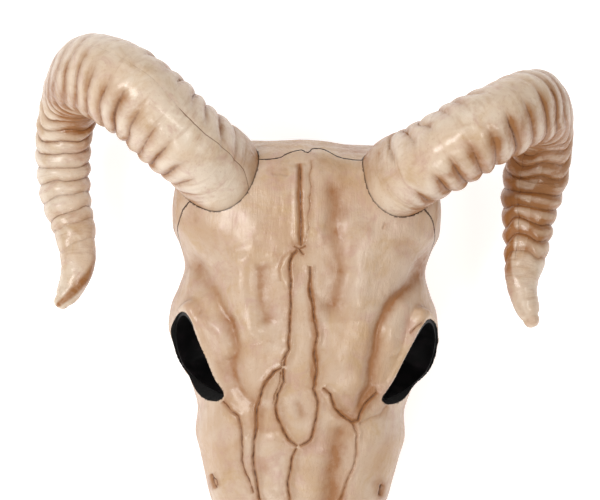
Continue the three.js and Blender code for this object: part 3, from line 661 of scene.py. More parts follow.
def round_bar(points, corners=20):
    """A bar with round ends through (side, along, up, radius) points."""
    points = np.array(points, float)
    steps = np.linspace(0, len(points) - 1, 8 * (len(points) - 1) + 1)
    curved = np.stack([through(np.stack([np.arange(len(points)), points[:, k]], 1))(steps)
                       for k in range(4)], 1)
    centres = curved[:, :3] * (1, -1, 1)
    tangents = np.gradient(centres, axis=0)
    tangents /= np.linalg.norm(tangents, axis=1)[:, None]
    helper = np.array((0.0, 0, 1)) if abs(tangents[0, 2]) < 0.8 else np.array((1.0, 0, 0))
    rings = []
    for centre, tangent, radius in [(c, t, r * k) for c, t, r, k in
                                    [(centres[0] - tangents[0] * curved[0, 3] * d, tangents[0], curved[0, 3],
                                      math.sqrt(1 - d * d)) for d in (0.55, 0.45, 0.25)]
                                    + [(c, t, r, 1) for c, t, r in zip(centres, tangents, curved[:, 3])]
                                    + [(centres[-1] + tangents[-1] * curved[-1, 3] * d, tangents[-1],
                                        curved[-1, 3], math.sqrt(1 - d * d)) for d in (0.25, 0.45, 0.55)]]:
        sideways = np.cross(tangent, helper)
        sideways /= np.linalg.norm(sideways)
        upwards = np.cross(tangent, sideways)
        angle = np.linspace(0, 2 * np.pi, corners, endpoint=False)[:, None]
        rings.append(centre + radius * (np.cos(angle) * sideways + np.sin(angle) * upwards))
    return closed_loft("bar", np.array(rings))


def positions(piece):
    values = np.empty(len(piece.data.vertices) * 3, np.float32)
    piece.data.vertices.foreach_get("co", values)
    return values.reshape(-1, 3).astype(float)


def normals(piece):
    values = np.empty(len(piece.data.vertices) * 3, np.float32)
    piece.data.vertex_normals.foreach_get("vector", values)
    return values.reshape(-1, 3).astype(float)


def set_positions(piece, values):
    piece.data.vertices.foreach_set("co", values.astype(np.float32).ravel())
    piece.data.update()


def both_sides(make):
    return [make(1), make(-1)]


def socket_place(hand):
    side, along, up = SOCKET_CENTRE
    mouth = Vector((math.cos(SOCKET_TURN) * math.cos(SOCKET_LIFT),
                    -math.sin(SOCKET_TURN) * math.cos(SOCKET_LIFT), math.sin(SOCKET_LIFT)))
    length = Vector((-math.sin(SOCKET_TURN), -math.cos(SOCKET_TURN), 0))
    height = length.cross(mouth)
    place = Matrix.Translation((side + (3 if hand > 0 else 0), -along,
                                up)) @ Matrix((length, mouth, height)).transposed().to_4x4()
    return place if hand > 0 else Matrix.Diagonal((-1, 1, 1, 1)) @ place


def bend_socket(points):
    """Draws both ends of a socket's outline up to a corner. Points are (lengthways, outwards, upwards)."""
    bent = points.copy()
    nose_end = points[..., 0] > 0
    end = np.abs(points[..., 0]) / SOCKET_LENGTH
    bent[..., 2] *= np.where(nose_end & (points[..., 2] < 0), np.maximum(1 - 0.8 * end, 0.2), 1)
    bent[..., 2] += np.where(nose_end, 20 * end ** 2.5, 13 * end ** 2.2)
    bent[..., 0] -= np.where(nose_end, 2.0, 0.0) * end
    return bent


def bowl(hand, inset, mouth_height, corners=144):
    """A bowl round a socket's mouth axis, closed with a lid at the given height over the mouth."""
    profile = [(r, level * (SOCKET_DEPTH - inset)) for r, level in SOCKET_WALL[1:]]
    profile += [(1, h) for h in np.linspace(profile[-1][1], mouth_height, 8)[1:]]
    angle = np.linspace(0, 2 * np.pi, corners, endpoint=False)
    rings = np.array([np.stack([r * (SOCKET_LENGTH - inset) * np.cos(angle), 0 * angle + y,
                                r * (SOCKET_HEIGHT - inset) * np.sin(angle)], 1) for r, y in profile])
    rings = bend_socket(rings)
    piece = placed_at(closed_loft("bowl", rings), socket_place(hand))
    face_outwards(piece)
    return piece


def socket_rim(hand):
    bpy.ops.mesh.primitive_torus_add(major_radius=1, minor_radius=0.1, major_segments=72, minor_segments=20)
    rim_size = Matrix.Diagonal((SOCKET_LENGTH, 4.5 / 0.1, SOCKET_HEIGHT + 0.5, 1))
    shape = (Matrix.Translation((-1.6, -3.4, 1.4)) @ rim_size
             @ Matrix.Rotation(math.radians(90), 4, "X"))
    ring = placed_at(bpy.context.object, shape)
    set_positions(ring, bend_socket(positions(ring)))
    return placed_at(ring, socket_place(hand))


def skull_form():
    corners, rings = 150, 190
    along = []
    for i in range(rings):
        even = 0.5 / SKULL_STATIONS + (1 - 1 / SKULL_STATIONS) * i / (rings - 1)
        along.append(SKULL_BACK + (SKULL_NOSE - SKULL_BACK)
                     * (0.6 * even + 0.4 * (1 - math.cos(even * math.pi)) / 2))
    along = np.array(along)[:, None]
    t = np.linspace(0, 2 * np.pi, corners, endpoint=False)[None, :]
    sine, cosine = np.sin(t), np.cos(t)

    def opened(distance, round_end):
        return np.where(distance >= round_end, 1, (1 - np.clip(1 - distance / round_end, 0, 1) ** 2.5) ** 0.4)

    opening = opened(along - SKULL_BACK, BACK_ROUND) * opened(SKULL_NOSE - along, NOSE_ROUND)
    above = cosine >= 0
    squareness = np.where(above, TOP_SQUARENESS(along), BOTTOM_SQUARENESS(along))
    reach = np.where(above, TOP(along) - WIDEST(along), WIDEST(along) - BOTTOM(along))
    scale = (np.abs(sine) ** squareness + np.abs(cosine) ** squareness) ** (-1 / squareness)
    side = HALF_WIDTH(along) * opening * scale * sine
    up = WIDEST(along) + reach * opening * scale * cosine
    return closed_loft("skull", np.stack([side, -along + 0 * side, up], -1))


glued_faces = []  # the surfaces where two mouldings meet, kept to find the edges that the wash has darkened


def combine(piece, operation, *others, keep=False):
    """Adds or cuts the others with the boolean tool, one after another, and removes them."""
    for other in [o for group in others for o in (group if isinstance(group, list) else [group])]:
        if keep:
            glued_faces.append(BVHTree.FromPolygons([v.co for v in other.data.vertices],
                                                    [f.vertices for f in other.data.polygons]))
        only_selected(piece)
        modifier = piece.modifiers.new("combine", "BOOLEAN")
        modifier.operation, modifier.solver, modifier.object = operation, "MANIFOLD", other
        bpy.ops.object.modifier_apply(modifier=modifier.name)
        bpy.data.objects.remove(other)
    return piece


def nose_opening():
    start, end, wall, floor = 234, 279, 7, -37
    rings = []
    for i in range(25):
        along = start + (end - start) * i / 24
        half = (HALF_WIDTH(along) - wall) * math.sqrt(math.sin(math.pi * (0.12 + 0.76 * i / 24)))
        outline = [(half, 40), (-half, 40), (-half, floor + 12), (-half * 0.97, floor + 7),
                   (-half * 0.8, floor + 2.6),
                   (-half * 0.45, floor), (half * 0.45, floor), (half * 0.8, floor + 2.6),
                   (half * 0.97, floor + 7), (half, floor + 12)]
        rings.append([(side, -along, up) for side, up in outline])
    return closed_loft("nose", np.array(rings, float))


def tooth(index, hand):
    share = index / (TOOTH_COUNT - 1)
    side, along = (FIRST_TOOTH[k] + (LAST_TOOTH[k] - FIRST_TOOTH[k]) * share for k in (0, 1))
    half = 7.2 + (4.8 - 7.2) * share
    angle = np.linspace(0, 2 * np.pi, 40, endpoint=False)
    rings = []
    for level in np.linspace(0, 1, 14):
        # two columns with a fluted cheek face, worn to a flat crown with a slightly softened edge
        flute = 1 - 0.10 * np.exp(-((np.abs(np.sin(angle)) - 0.05) / 0.28) ** 2) * (0.4 + 0.6 * level)
        size = (1.06 + (0.98 - 1.06) * level) * (1 - 0.06 * max(0, (level - 0.93) / 0.07))
        across, lengthways = half * 0.82 * size * np.cos(angle) * flute, half * size * np.sin(angle)
        turned = math.radians(8 * hand)
        rings.append(np.stack([side * hand + across * math.cos(turned) - lengthways * math.sin(turned),
                               -along + across * math.sin(turned) + lengthways * math.cos(turned),
                               0 * angle + GUM + (CROWN - GUM) * level], 1))
    return closed_loft("tooth", np.array(rings))


skull = skull_form()
combine(skull, "DIFFERENCE", both_sides(lambda hand: egg(74 * hand, 66, -62, (17, 27, 15), yaw=-8 * hand)))
combine(
    skull, "UNION",
    both_sides(lambda hand: round_bar([(62 * hand, 128, -58, 7), (68 * hand, 108, -62, 6),
                                       (66 * hand, 86, -67, 5), (60 * hand, 66, -70, 5),
                                       (54 * hand, 46, -66, 6)])),
    both_sides(socket_rim),
    both_sides(lambda hand: egg(12 * hand, 6, -98, (9, 12, 14), pitch=20)),
    both_sides(lambda hand: round_bar([(30 * hand, 8, -78, 10), (31 * hand, 16, -98, 7),
                                       (30 * hand, 22, -116, 4.5)])),
    both_sides(lambda hand: egg(23 * hand, 40, -92, (9, 14, 12))),
    both_sides(lambda hand: round_bar([(44 * hand, 34, -66, 8), (60 * hand, 30, -60, 6.5)])),
    round_bar([(0, 10, -92, 10), (0, 50, -92, 9), (0, 86, -82, 8)]),
    both_sides(lambda hand: round_bar([(14 * hand, 82, -78, 5), (15 * hand, 98, -92, 3.5),
                                       (16 * hand, 112, -82, 5)])),
    both_sides(lambda hand: round_bar([(37.5 * hand, 120, -66, 8.5), (34 * hand, 160, -62, 9.5),
                                       (27 * hand, 206, -56, 7)])),
)
combine(
    skull, "DIFFERENCE",
    egg(0, 168, -74, (19, 72, 13)), egg(0, 112, -80, (11, 20, 15), pitch=-15),
    round_bar([(0, -30, -82, 10), (0, 12, -84, 9)]), nose_opening(), egg(0, 234, -25, (17, 30, 11), pitch=6),
)
combine(skull, "UNION", both_sides(lambda hand: egg(6.4 * hand, 233, -14.5, (6.8, 19, 3.4), pitch=20,
                                                    yaw=4 * hand)))

only_selected(skull)
remesh = skull.modifiers.new("even mesh", "REMESH")
remesh.mode, remesh.voxel_size = "VOXEL", 1.22
bpy.ops.object.modifier_apply(modifier=remesh.name)
relax = skull.modifiers.new("relax", "SMOOTH")
relax.factor, relax.iterations = 0.5, 4
bpy.ops.object.modifier_apply(modifier=relax.name)


def distance_to_path(points, path):
    """Distance in (side, along) from each point to a path, and how far along the path that is, 0 to 1."""
    path = np.array(path, float)
    best, where = np.full(len(points), 1e9), np.zeros(len(points))
    lengths = np.concatenate([[0], np.cumsum(np.linalg.norm(np.diff(path, axis=0), axis=1))])
    for i in range(len(path) - 1):
        step = path[i + 1] - path[i]
        share = np.clip(((points - path[i]) @ step) / (step @ step), 0, 1)
        distance = np.linalg.norm(points - path[i] - share[:, None] * step, axis=1)
        closer = distance < best
        best = np.where(closer, distance, best)
        where = np.where(closer, (lengths[i] + share * (lengths[i + 1] - lengths[i])) / lengths[-1], where)
    return best, where


def soft_ends(where, path, breadth):
    """Fades a form out towards the ends of its path; a short form needs none, as its ends are round."""
    length = sum(math.dist(a, b) for a, b in zip(path, path[1:]))
    return smooth_step(-0.02, 0.14, where) * smooth_step(1.02, 0.86, where) if length > 5 * breadth else 1.0


# The modelled surface of the forehead and face: soft ridges and valleys as paths of (side, along), with a
# half
# breadth, a rise in millimetres and how much brown was left in them: wash, with painted shade in the
# shaded valleys. Most places were read by eye, and a separate script turned them into millimetres and wrote
# the rows; some rows were set by hand later.
RELIEF = [
    ("lip left of the midline groove", [(-7.4, 9.8), (-7.0, 26.7), (-6.4, 43.4), (-5.2, 55.6)], 1.3, 0.8,
     -0.1),
    ("midline groove", [(-5.3, 8.5), (-4.6, 20.9), (-3.6, 37.7), (-2.8, 57.1)], 1.2, -0.7, 0.5),
    ("hook beside the left seam", [(-8.2, 60.1), (-11, 63.9), (-12.3, 69.9), (-11.4, 75.6), (-9.4, 81.4)],
     1.5, 0.9, -0.1),
    ("bead right of the midline", [(-2.2, 9), (-1.2, 26.3), (-0.4, 40.8), (-0.2, 54)], 1.8, 0.5, -0.1),
    ("flank right of the midline", [(5.0, 7.5), (7.0, 26.3), (7.4, 40.8), (6.6, 54)], 3.2, 0.8, -0.1),
    ("right inner valley", [(9.4, 16.3), (14.3, 31.6), (16.8, 42.7), (18.6, 59.3), (18.4, 76.1),
                            (17.3, 98.8)], 7, -2.0, 0.55),
    ("right broad ridge", [(24.5, 34.6), (26.9, 59.1), (29.3, 81.3), (33.2, 98.0)], 9, 1.5, -0.1),
    ("right brow groove", [(76.4, 53.8), (62.3, 73.9), (53.1, 81.9), (46.5, 91.0), (42.3, 100.1),
                           (40.9, 110.2), (39.5, 120.4), (38.9, 133.9), (34.5, 143.0), (30, 152)], 4.6, -3.0,
     0.6),
    ("right rim ridge", [(57.8, 84.1), (52.4, 95.4), (49.3, 105.6), (51.9, 115.7)], 5, 1.3, -0.1),
    ("left long ridge", [(-40.6, 61.1), (-34.6, 72.1), (-32.6, 83.2), (-30.6, 94.3), (-29.2, 104.3),
                         (-26.7, 113.2)], 6.5, 2.0, -0.1),
    ("left second ridge", [(-44.8, 72.4), (-41.1, 83.5), (-36.2, 96.7), (-33.7, 103.4), (-30.1, 111.1)], 4,
     0.9, -0.1),
    ("left inner valley", [(-24.8, 65.1), (-22.6, 80.6), (-21.1, 94.0), (-19.2, 102.8)], 5, -1.3, 0.38),
    ("left brow groove", [(-69.1, 59.7), (-59.9, 70.7), (-51.3, 82.7), (-45.3, 94.8), (-41.7, 100.3),
                          (-39.1, 111.4), (-37.2, 122.6), (-35.1, 136.1), (-30.4, 143.7), (-24.6, 149.1)], 5,
     -2.4, 0.38),
    ("left rim ridge", [(-60.1, 97.8), (-50.6, 106.3), (-42.5, 115.0), (-39.5, 120.5)], 4.5, 1.8, -0.1),
    ("stain by the left eye", [(-45.1, 124.1), (-41.9, 136.4), (-39.5, 143.1)], 5, 0, 0.25),
    ("middle tongue", [(-3.4, 70.0), (-0.2, 103.4), (0.5, 125.7), (1.4, 139.2)], 7, 0.9, -0.05),
    ("dimple in the tongue", [(-1, 145.5), (0.5, 149.5)], 3.6, -1, 0.36),
    ("tip of the tongue", [(3, 159), (1.5, 163)], 3.5, 0.45, 0),
    ("brown side of the tongue", [(1.7, 71.0), (4.0, 88.7), (5.0, 98.7), (6.4, 119.9), (5.8, 136.8)], 2.2,
     -0.5, 0.42),
    ("right plane", [(14.5, 108.5), (19.4, 125.2), (24.3, 136.4)], 10, 0.8, 0.05),
    ("left nasal swelling", [(-15.3, 160.0), (-12.6, 176.8), (-12.0, 197.3)], 6, 1.2, -0.1),
    ("left narrow strip", [(-28.7, 162.8), (-27.4, 178.6), (-25.0, 194.4)], 2.4, 1.0, -0.1),
    ("right nasal valley", [(22.7, 153.9), (19.4, 177.1), (16.2, 206.5)], 6.5, -1.7, 0.62),
    ("middle nasal swelling", [(7.5, 175.1), (10.4, 196.6)], 7, 0.8, 0),
    ("right nasal swelling", [(36.6, 167.8), (32.6, 183.8), (29.6, 196.4)], 6, 1.4, -0.1),
    ("right cheek wash", [(51.2, 159.0), (47.2, 176.0), (43.2, 193.2)], 5, -0.3, 0.2),
    ("left cheek swelling", [(-44.8, 157.0), (-43.1, 178.5), (-41.5, 195.6)], 8, 0.8, -0.05),
    ("left inner plane", [(-28.6, 126.7), (-26.0, 137.9)], 6, 0.7, 0),
    ("wash at the left fork", [(-27, 146), (-23, 151), (-24, 158)], 3.6, -0.7, 0.28),
    ("wash at the right fork", [(24, 149), (29, 151.5), (34, 145)], 4, -0.9, 0.3),
    ("plane above the right fork", [(22.0, 136.4), (30.9, 131.7)], 6, 0.7, 0),
    ("wrinkles by the midline", [(-24.1, 14.8), (-17.4, 13.7), (-10.7, 13.5)], 1.5, -0.3, 0.15),
    ("second wrinkle", [(-20.6, 16.9), (-10.6, 16.2)], 1.3, -0.25, 0.12),
    ("wash behind the right horn", [(53.2, 53.8), (63.0, 62.5)], 6, 0, 0.3),
    ("wash on the left side", [(-67.3, 42.7), (-62.5, 48.3)], 8, 0, 0.12),
    ("hollow right of the crown", [(4.9, 11.7), (16.1, 13.6), (20.8, 21.3)], 8, -0.7, 0.15),
]
BROAD_RELIEF = [form for form in RELIEF if form[2] >= 3]
FINE_RELIEF = [form for form in RELIEF if form[2] < 3]
# Cracks and bone seams: path of (side, along), half breadth, depth, raised lip beside it, darkness of its
# line.
# Many places were read by eye, turned into millimetres by a separate script and rounded by hand. Others were
# added between them.
CRACKS = [
    ("crown line", [(-5.0, 9.5), (-4.2, 21), (-3.3, 38), (-2.9, 57)], 0.85, 0.3, 0.0, 1.0),
    ("crown hairline", [(1.4, 7), (1.9, 12), (1.0, 17), (2.2, 23), (1.0, 29), (2.0, 34), (0.8, 40),
                        (1.5, 46), (0.2, 51), (-1.4, 57)], 0.45, 0.3, 0.0, 0.55),
    ("hook line", [(-9.8, 59.5), (-13.0, 63.4), (-14.2, 70), (-13.4, 77)], 0.5, 0.25, 0.1, 0.35),
    ("star a", [(-3.8, 58.3), (-1.2, 61)], 0.8, 0.7, 0.2, 0.8),
    ("star b", [(-3.8, 58.3), (-0.6, 56.5)], 0.7, 0.6, 0.2, 0.8),
    ("star c", [(-3.8, 58.3), (-6.2, 57)], 0.7, 0.6, 0.2, 0.7),
    ("left seam", [(-3.8, 58.3), (-7.0, 61.2), (-8.6, 65.7), (-7.9, 76), (-7.4, 86.8), (-7.9, 95),
                   (-7.4, 103.6), (-8.1, 110), (-7.7, 114.7), (-10.0, 119), (-10.4, 124.3)], 0.9, 0.85, 0.45,
     0.9),
    ("left twin", [(-7.7, 114.7), (-9.6, 117), (-11.6, 121.5), (-11.2, 125)], 0.6, 0.5, 0.2, 0.7),
    ("left branch", [(-10.4, 124.3), (-15.7, 127.3), (-20.0, 133.3), (-23.1, 141.4), (-25.1, 147.5),
                     (-24.4, 157.6), (-25.9, 167.8), (-26.0, 175), (-24.6, 184), (-23.5, 190),
                     (-22.1, 199.0), (-20, 212), (-15, 228)], 0.9, 0.8, 0.5, 0.95),
    ("middle branch", [(-10.4, 124.3), (-9.9, 132.8), (-13.6, 139.5), (-13.9, 146), (-13.0, 153),
                       (-9.4, 160.5), (-5.0, 166.2), (-1.0, 169.1)], 0.9, 0.8, 0.4, 0.95),
    ("middle twin", [(-11.6, 126), (-11.9, 132.5), (-15.4, 140), (-15.4, 146)], 0.6, 0.5, 0.2, 0.6),
    ("right seam", [(2.7, 67), (3.1, 76), (3.5, 84), (5.2, 90), (7.0, 99.8), (8.0, 107.0), (6.6, 116.0),
                    (8.5, 126.6), (6.6, 136), (9.3, 144), (8.8, 153), (7.2, 160.2), (5.4, 165),
                    (-1.0, 169.1)], 0.9, 0.85, 0.45, 0.85),
    ("right fork", [(11.3, 134.9), (16.6, 139.2), (18.9, 146.5), (23.2, 150.9), (29.0, 154.0), (32.2, 153.0),
                    (34.2, 147.6), (37.5, 142), (43.0, 136.9)], 0.9, 0.85, 0.5, 0.9),
    ("right fork down", [(29.4, 154.3), (31.9, 161), (31.9, 171), (30.3, 181), (26.2, 189.5), (24.0, 198.8),
                         (21, 212), (16, 228)], 0.9, 0.7, 0.4, 0.6),
    ("right side groove", [(32.4, 155.4), (38.9, 152.1), (44.6, 149.9), (49.0, 144.8)], 1.2, 0.6, 0.2, 0.3),
    ("left outer", [(-45.0, 144.7), (-38.9, 150.5), (-35.1, 153.0), (-33.0, 162.4), (-32.3, 171),
                    (-32.6, 178), (-28.5, 188.5), (-24.8, 197)], 0.9, 0.75, 0.4, 0.8),
    ("nose seam", [(-1.6, 169.3), (-4.0, 174.5), (-4.9, 182.5), (-6.3, 189), (-5.0, 198.2), (-4.0, 210),
                   (-2.5, 225), (-1.5, 245)], 0.85, 0.75, 0.4, 0.95),
    ("brow nick", [(44.5, 41.5), (43.8, 43), (43.1, 45), (42.6, 46.5)], 0.6, 0.3, 0.1, 0.3),
    ("upper left crease", [(-22, 16.5), (-16, 16), (-12, 16.8), (-10, 16.4)], 1.2, 0.2, 0.1, 0.15),
    ("right rim nick", [(66.5, 97.6), (63.0, 100.5), (60.5, 103.5)], 0.7, 0.6, 0.3, 0.7),
    ("left cheek hole", [(-50.4, 186.8), (-48.9, 189.2), (-48.4, 192.0), (-46.2, 195.4)], 0.9, 1.3, 0.3, 1.0),
    ("left cheek hole branch", [(-48.9, 189.2), (-46.6, 190.4), (-45.9, 193.0)], 0.6, 0.7, 0.2, 0.9),
    ("right cheek hole", [(46.8, 191.5), (46.2, 195.5)], 1.3, 1.5, 0.6, 1.0),
]

def wandering(points, waves, seed):
    """The points (side, along), each pushed a little by smooth waves of (length, push) in millimetres."""
    random = np.random.default_rng(seed)
    moved = points.copy()
    for length, push in waves:
        for _ in range(3):
            direction, phase = random.uniform(0, np.pi), random.uniform(0, 2 * np.pi, 2)
            wave = (points[:, 0] * math.cos(direction) + points[:, 1]
                    * math.sin(direction)) * 2 * np.pi / length
            moved[:, 0] += push / 1.7 * np.sin(wave + phase[0])
            moved[:, 1] += push / 1.7 * np.sin(wave + phase[1])
    return moved


# soft relief
relief_points = positions(skull)
relief_normals = normals(skull)
flat_place = wandering(relief_points[:, :2] * (1, -1), ((41, 1.0), (17, 0.3)), 3)
facing_up = smooth_step(0.05, 0.6, relief_normals[:, 2]) * (relief_points[:, 2] > -60)
rise = np.zeros(len(relief_points))
for _, path, breadth, height, _ in BROAD_RELIEF:
    distance, where = distance_to_path(flat_place, path)
    rise += height * np.exp(-(distance / breadth) ** 2) * soft_ends(where, path, breadth)
waves = (0.05 * np.sin(flat_place[:, 0] * 0.9 + 0.3) * np.sin(flat_place[:, 1] * 0.3 + 0.8)
         + 0.2 * np.sin(flat_place[:, 0] * 0.21 + 0.7) * np.sin(flat_place[:, 1] * 0.13 + 1.1)
         + 0.12 * np.sin(flat_place[:, 0] * 0.37 + flat_place[:, 1] * 0.09 + 2.0)
         + 0.12 * np.sin(flat_place[:, 1] * 0.31 - flat_place[:, 0] * 0.23 + 0.4))
crown_edge = smooth_step(14, 2, flat_place[:, 1]) * smooth_step(-45, -20, relief_points[:, 2])
crown_rise = 1.2 * np.exp(-((flat_place[:, 0] + 1)
                            / 17) ** 2) - 1.7 * np.exp(-((flat_place[:, 0] - 29) / 13) ** 2)
for along, size in ((-1.5, 0.35), (1.5, 0.3)):
    crown_rise -= size * np.exp(-((flat_place[:, 1] - along - 0.8 * np.sin(flat_place[:, 0] * 0.11))
                                  / 0.9) ** 2)
set_positions(skull, relief_points + relief_normals
              * ((rise + waves) * facing_up + crown_rise * crown_edge)[:, None])

# teeth, sockets and horn seats are cut or added crisp
combine(skull, "UNION", [tooth(index, hand) for hand in (1, -1) for index in range(TOOTH_COUNT)])
socket_bowls = both_sides(lambda hand: bowl(hand, 0, 26))
socket_walls = [BVHTree.FromPolygons([v.co for v in o.data.vertices], [f.vertices for f in o.data.polygons])
                for o in socket_bowls]
combine(skull, "DIFFERENCE", socket_bowls)
for horn_name in HORN_LINES:
    seat_rings, _ = horn_form(horn_name, np.linspace(0, 0.3, 130), 72, grow=GAP)
    combine(skull, "DIFFERENCE", closed_loft("seat", seat_rings), keep=True)


def seam_line():
    """Points (along, up) of the seam seen from the side, from behind the forehead to the nose."""
    knots = np.array([(5, -4), (20, -4.5), (32, -5.2), (39, -10.5), (46, -15.5), (53, -22), (62, -33),
                      (78, -45), (100, -57), (126, -60), (152, -51), (200, -42), (300, -36)], float)
    line = []
    for i in range(len(knots) - 1):
        p0, p1, p2, p3 = knots[max(i - 1, 0)], knots[i], knots[i + 1], knots[min(i + 2, len(knots) - 1)]
        for t in np.linspace(0, 1, 12, endpoint=False):
            v0, v1 = (p2 - p0) * 0.5, (p3 - p1) * 0.5
            line.append((2 * p1 - 2 * p2 + v0 + v1) * t ** 3 + (-3 * p1 + 3 * p2 - 2 * v0 - v1) * t ** 2 + v0
                        * t + p1)
    return np.array(line + [knots[-1]])


def front_block(shift=0.0):
    """The region in front of the seam. Over the crown its edge wanders as a bone seam does."""
    crown = through([(-45, 9), (-25.8, 8.8), (-20.8, 8.5), (-16.2, 7.6), (-11.8, 5.0), (-8.3, 3.7),
                     (-3.7, 2.7), (-1.9, 3.9),
                     (-0.2, 4.1), (2.2, 1.8), (5.8, 1.5), (10, 2.6), (15, 5.3), (20, 6.8), (27.1, 7.5),
                     (45, 7.5)])
    deeper = through([(-60, 0), (-34, 14), (34, 14), (60, 0)])
    seam = seam_line()
    rings = []
    for side in np.concatenate([np.linspace(-120, -46, 12), np.linspace(-44, 44, 89),
                                np.linspace(46, 120, 12)]):
        edge, drop = float(crown(side)), float(deeper(side))
        wall = [(edge, up) for up in np.linspace(60, -4 - drop, 14)]
        outline = wall + [(along + (edge - 5) * max(0, 1 - (along - 5) / 12),
                           up - drop * max(0, 1 - (along - 5) / 40))
                          for along, up in seam[1:]] + [(300, 60)]
        rings.append([(side, -(along - shift), up - shift) for along, up in outline])
    rings = np.array(rings, float)
    return closed_loft("front", rings)


def copy_of(piece, name):
    made = piece.copy()
    made.data = piece.data.copy()
    made.name = name
    bpy.context.collection.objects.link(made)
    return made


back_shell = copy_of(skull, "back_shell_moulding")
face_shell = skull
face_shell.name = "face_shell_moulding"
combine(face_shell, "INTERSECT", front_block(), keep=True)
combine(back_shell, "DIFFERENCE", front_block(GAP), keep=True)
bpy.ops.mesh.primitive_cube_add(size=1)
floor_block = placed_at(bpy.context.object, Matrix.Rotation(-FACE_SLOPE, 4, "X")
                        @ Matrix.Diagonal((500, 700, 100, 1)) @ Matrix.Translation((0, 0, -0.5 - 1.17)))
combine(back_shell, "DIFFERENCE", floor_block)

# the mesh is made finer along the cracks, which are then engraved with raised lips
for reach, fine_reach in ((2.3, 1.15), (1.2, 0)):
    only_selected(face_shell)
    centres = np.empty(len(face_shell.data.polygons) * 3, np.float32)
    face_shell.data.polygons.foreach_get("center", centres)
    centres = centres.reshape(-1, 3).astype(float)
    facing = np.empty(len(face_shell.data.polygons) * 3, np.float32)
    face_shell.data.polygons.foreach_get("normal", facing)
    near = np.zeros(len(centres), bool)
    for _, path, *_ in CRACKS:
        near |= distance_to_path(centres[:, :2] * (1, -1), path)[0] < reach
    for _, path, breadth, *_ in FINE_RELIEF:
        near |= distance_to_path(centres[:, :2] * (1, -1), path)[0] < fine_reach * (1 + breadth * 0.5)
    near &= facing.reshape(-1, 3)[:, 2] > 0.15
    bpy.ops.object.mode_set(mode="EDIT")
    bpy.ops.mesh.select_mode(type="FACE")
    bpy.ops.mesh.select_all(action="DESELECT")
    bpy.ops.object.mode_set(mode="OBJECT")
    face_shell.data.polygons.foreach_set("select", near)
    bpy.ops.object.mode_set(mode="EDIT")
    bpy.ops.mesh.subdivide(number_cuts=1)
    bpy.ops.mesh.vertices_smooth(factor=0.5, repeat=2)
    bpy.ops.object.mode_set(mode="OBJECT")

crack_points = positions(face_shell)
crack_normals = normals(face_shell)
crack_flat = wandering(crack_points[:, :2] * (1, -1), ((15, 0.25), (4.6, 0.09)), 5)
crack_facing = smooth_step(0.1, 0.35, crack_normals[:, 2])
cut_mark, lip_mark, line_mark, wash_and_shade_mark = (np.zeros(len(crack_points)) for _ in range(4))
for number, (_, path, breadth, depth, lip, dark) in enumerate(CRACKS):
    random = np.random.default_rng(number)
    distance, where = distance_to_path(crack_flat, path)
    length = sum(math.dist(a, b) for a, b in zip(path, path[1:]))
    uneven = 0.8 + 0.2 * np.sin(where * length * 0.9
                                + random.uniform(0, 6)) * np.sin(where * length * 0.37 + random.uniform(0, 6))
    fade = smooth_step(0, 1.3 / length, where) * smooth_step(1, 1 - 1.3 / length,
                                                             where) if len(path) > 3 else 1
    cut_mark = np.maximum(cut_mark, depth * np.exp(-(distance / (breadth * 0.7)) ** 2) * uneven * fade)
    lip_mark = np.maximum(lip_mark, lip * np.exp(-((distance - breadth * 1.9) / (breadth * 1.3)) ** 2) * fade)
    line_mark = np.maximum(line_mark, dark * np.exp(-(distance / (breadth * 0.5)) ** 2) * uneven * fade)
    # a brown halo beside each crack: wash, and painted shade at the side of the cut
    wash_and_shade_mark = np.maximum(wash_and_shade_mark, 0.75 * dark * np.exp(-(distance / (breadth * 2.8)) ** 2) * fade)
raise_by = lip_mark * np.clip(1 - cut_mark / 0.5, 0, 1) - cut_mark
for _, path, breadth, height, _ in FINE_RELIEF:
    distance, where = distance_to_path(crack_flat, path)
    swelling = height * np.exp(-(distance / breadth) ** 2)
    raise_by += swelling * smooth_step(0, 0.1, where) * smooth_step(1, 0.9, where)
set_positions(face_shell, crack_points + crack_normals * (raise_by * crack_facing)[:, None])
line_mark, wash_and_shade_mark = line_mark * crack_facing, wash_and_shade_mark * crack_facing
# brown in the valleys and grooves: wash, and painted shade where the valleys lie in shadow
for _, path, breadth, _, wash in RELIEF:
    distance, where = distance_to_path(crack_flat, path)
    stain = wash * np.exp(-(distance / (breadth * 1.1)) ** 2)
    wash_and_shade_mark = wash_and_shade_mark + stain * crack_facing * soft_ends(where, path, breadth)


def hollows(piece, rounds, size):
    """How far each point lies below its smoothed surroundings, from -1 on a bump to 1 in a hollow."""
    mesh = piece.data
    edges = np.empty(len(mesh.edges) * 2, np.int32)
    mesh.edges.foreach_get("vertices", edges)
    a, b = edges.reshape(-1, 2).T
    count = np.bincount(a, minlength=len(mesh.vertices)) + np.bincount(b, minlength=len(mesh.vertices))
    start = positions(piece)
    smooth = start.copy()
    for _ in range(rounds):
        total = np.stack([np.bincount(a, smooth[b, k], len(smooth))
                          + np.bincount(b, smooth[a, k], len(smooth)) for k in range(3)], 1)
        smooth = 0.4 * smooth + 0.6 * total / np.maximum(count, 1)[:, None]
    return np.clip(((smooth - start) * normals(piece)).sum(1) / size, -1, 1)


def in_socket(piece):
    """1 on the walls of the eye-socket holes, which are painted black like the cups in them."""
    return np.array([float(any(wall.find_nearest(v.co, 0.06)[0] is not None for wall in socket_walls))
                     for v in piece.data.vertices])


def on_glued_edge(piece):
    """1 on points that lie on a glued face, so the line round it is dark."""
    return np.array([float(any(face.find_nearest(v.co, 0.03)[0] is not None for face in glued_faces))
                     for v in piece.data.vertices])


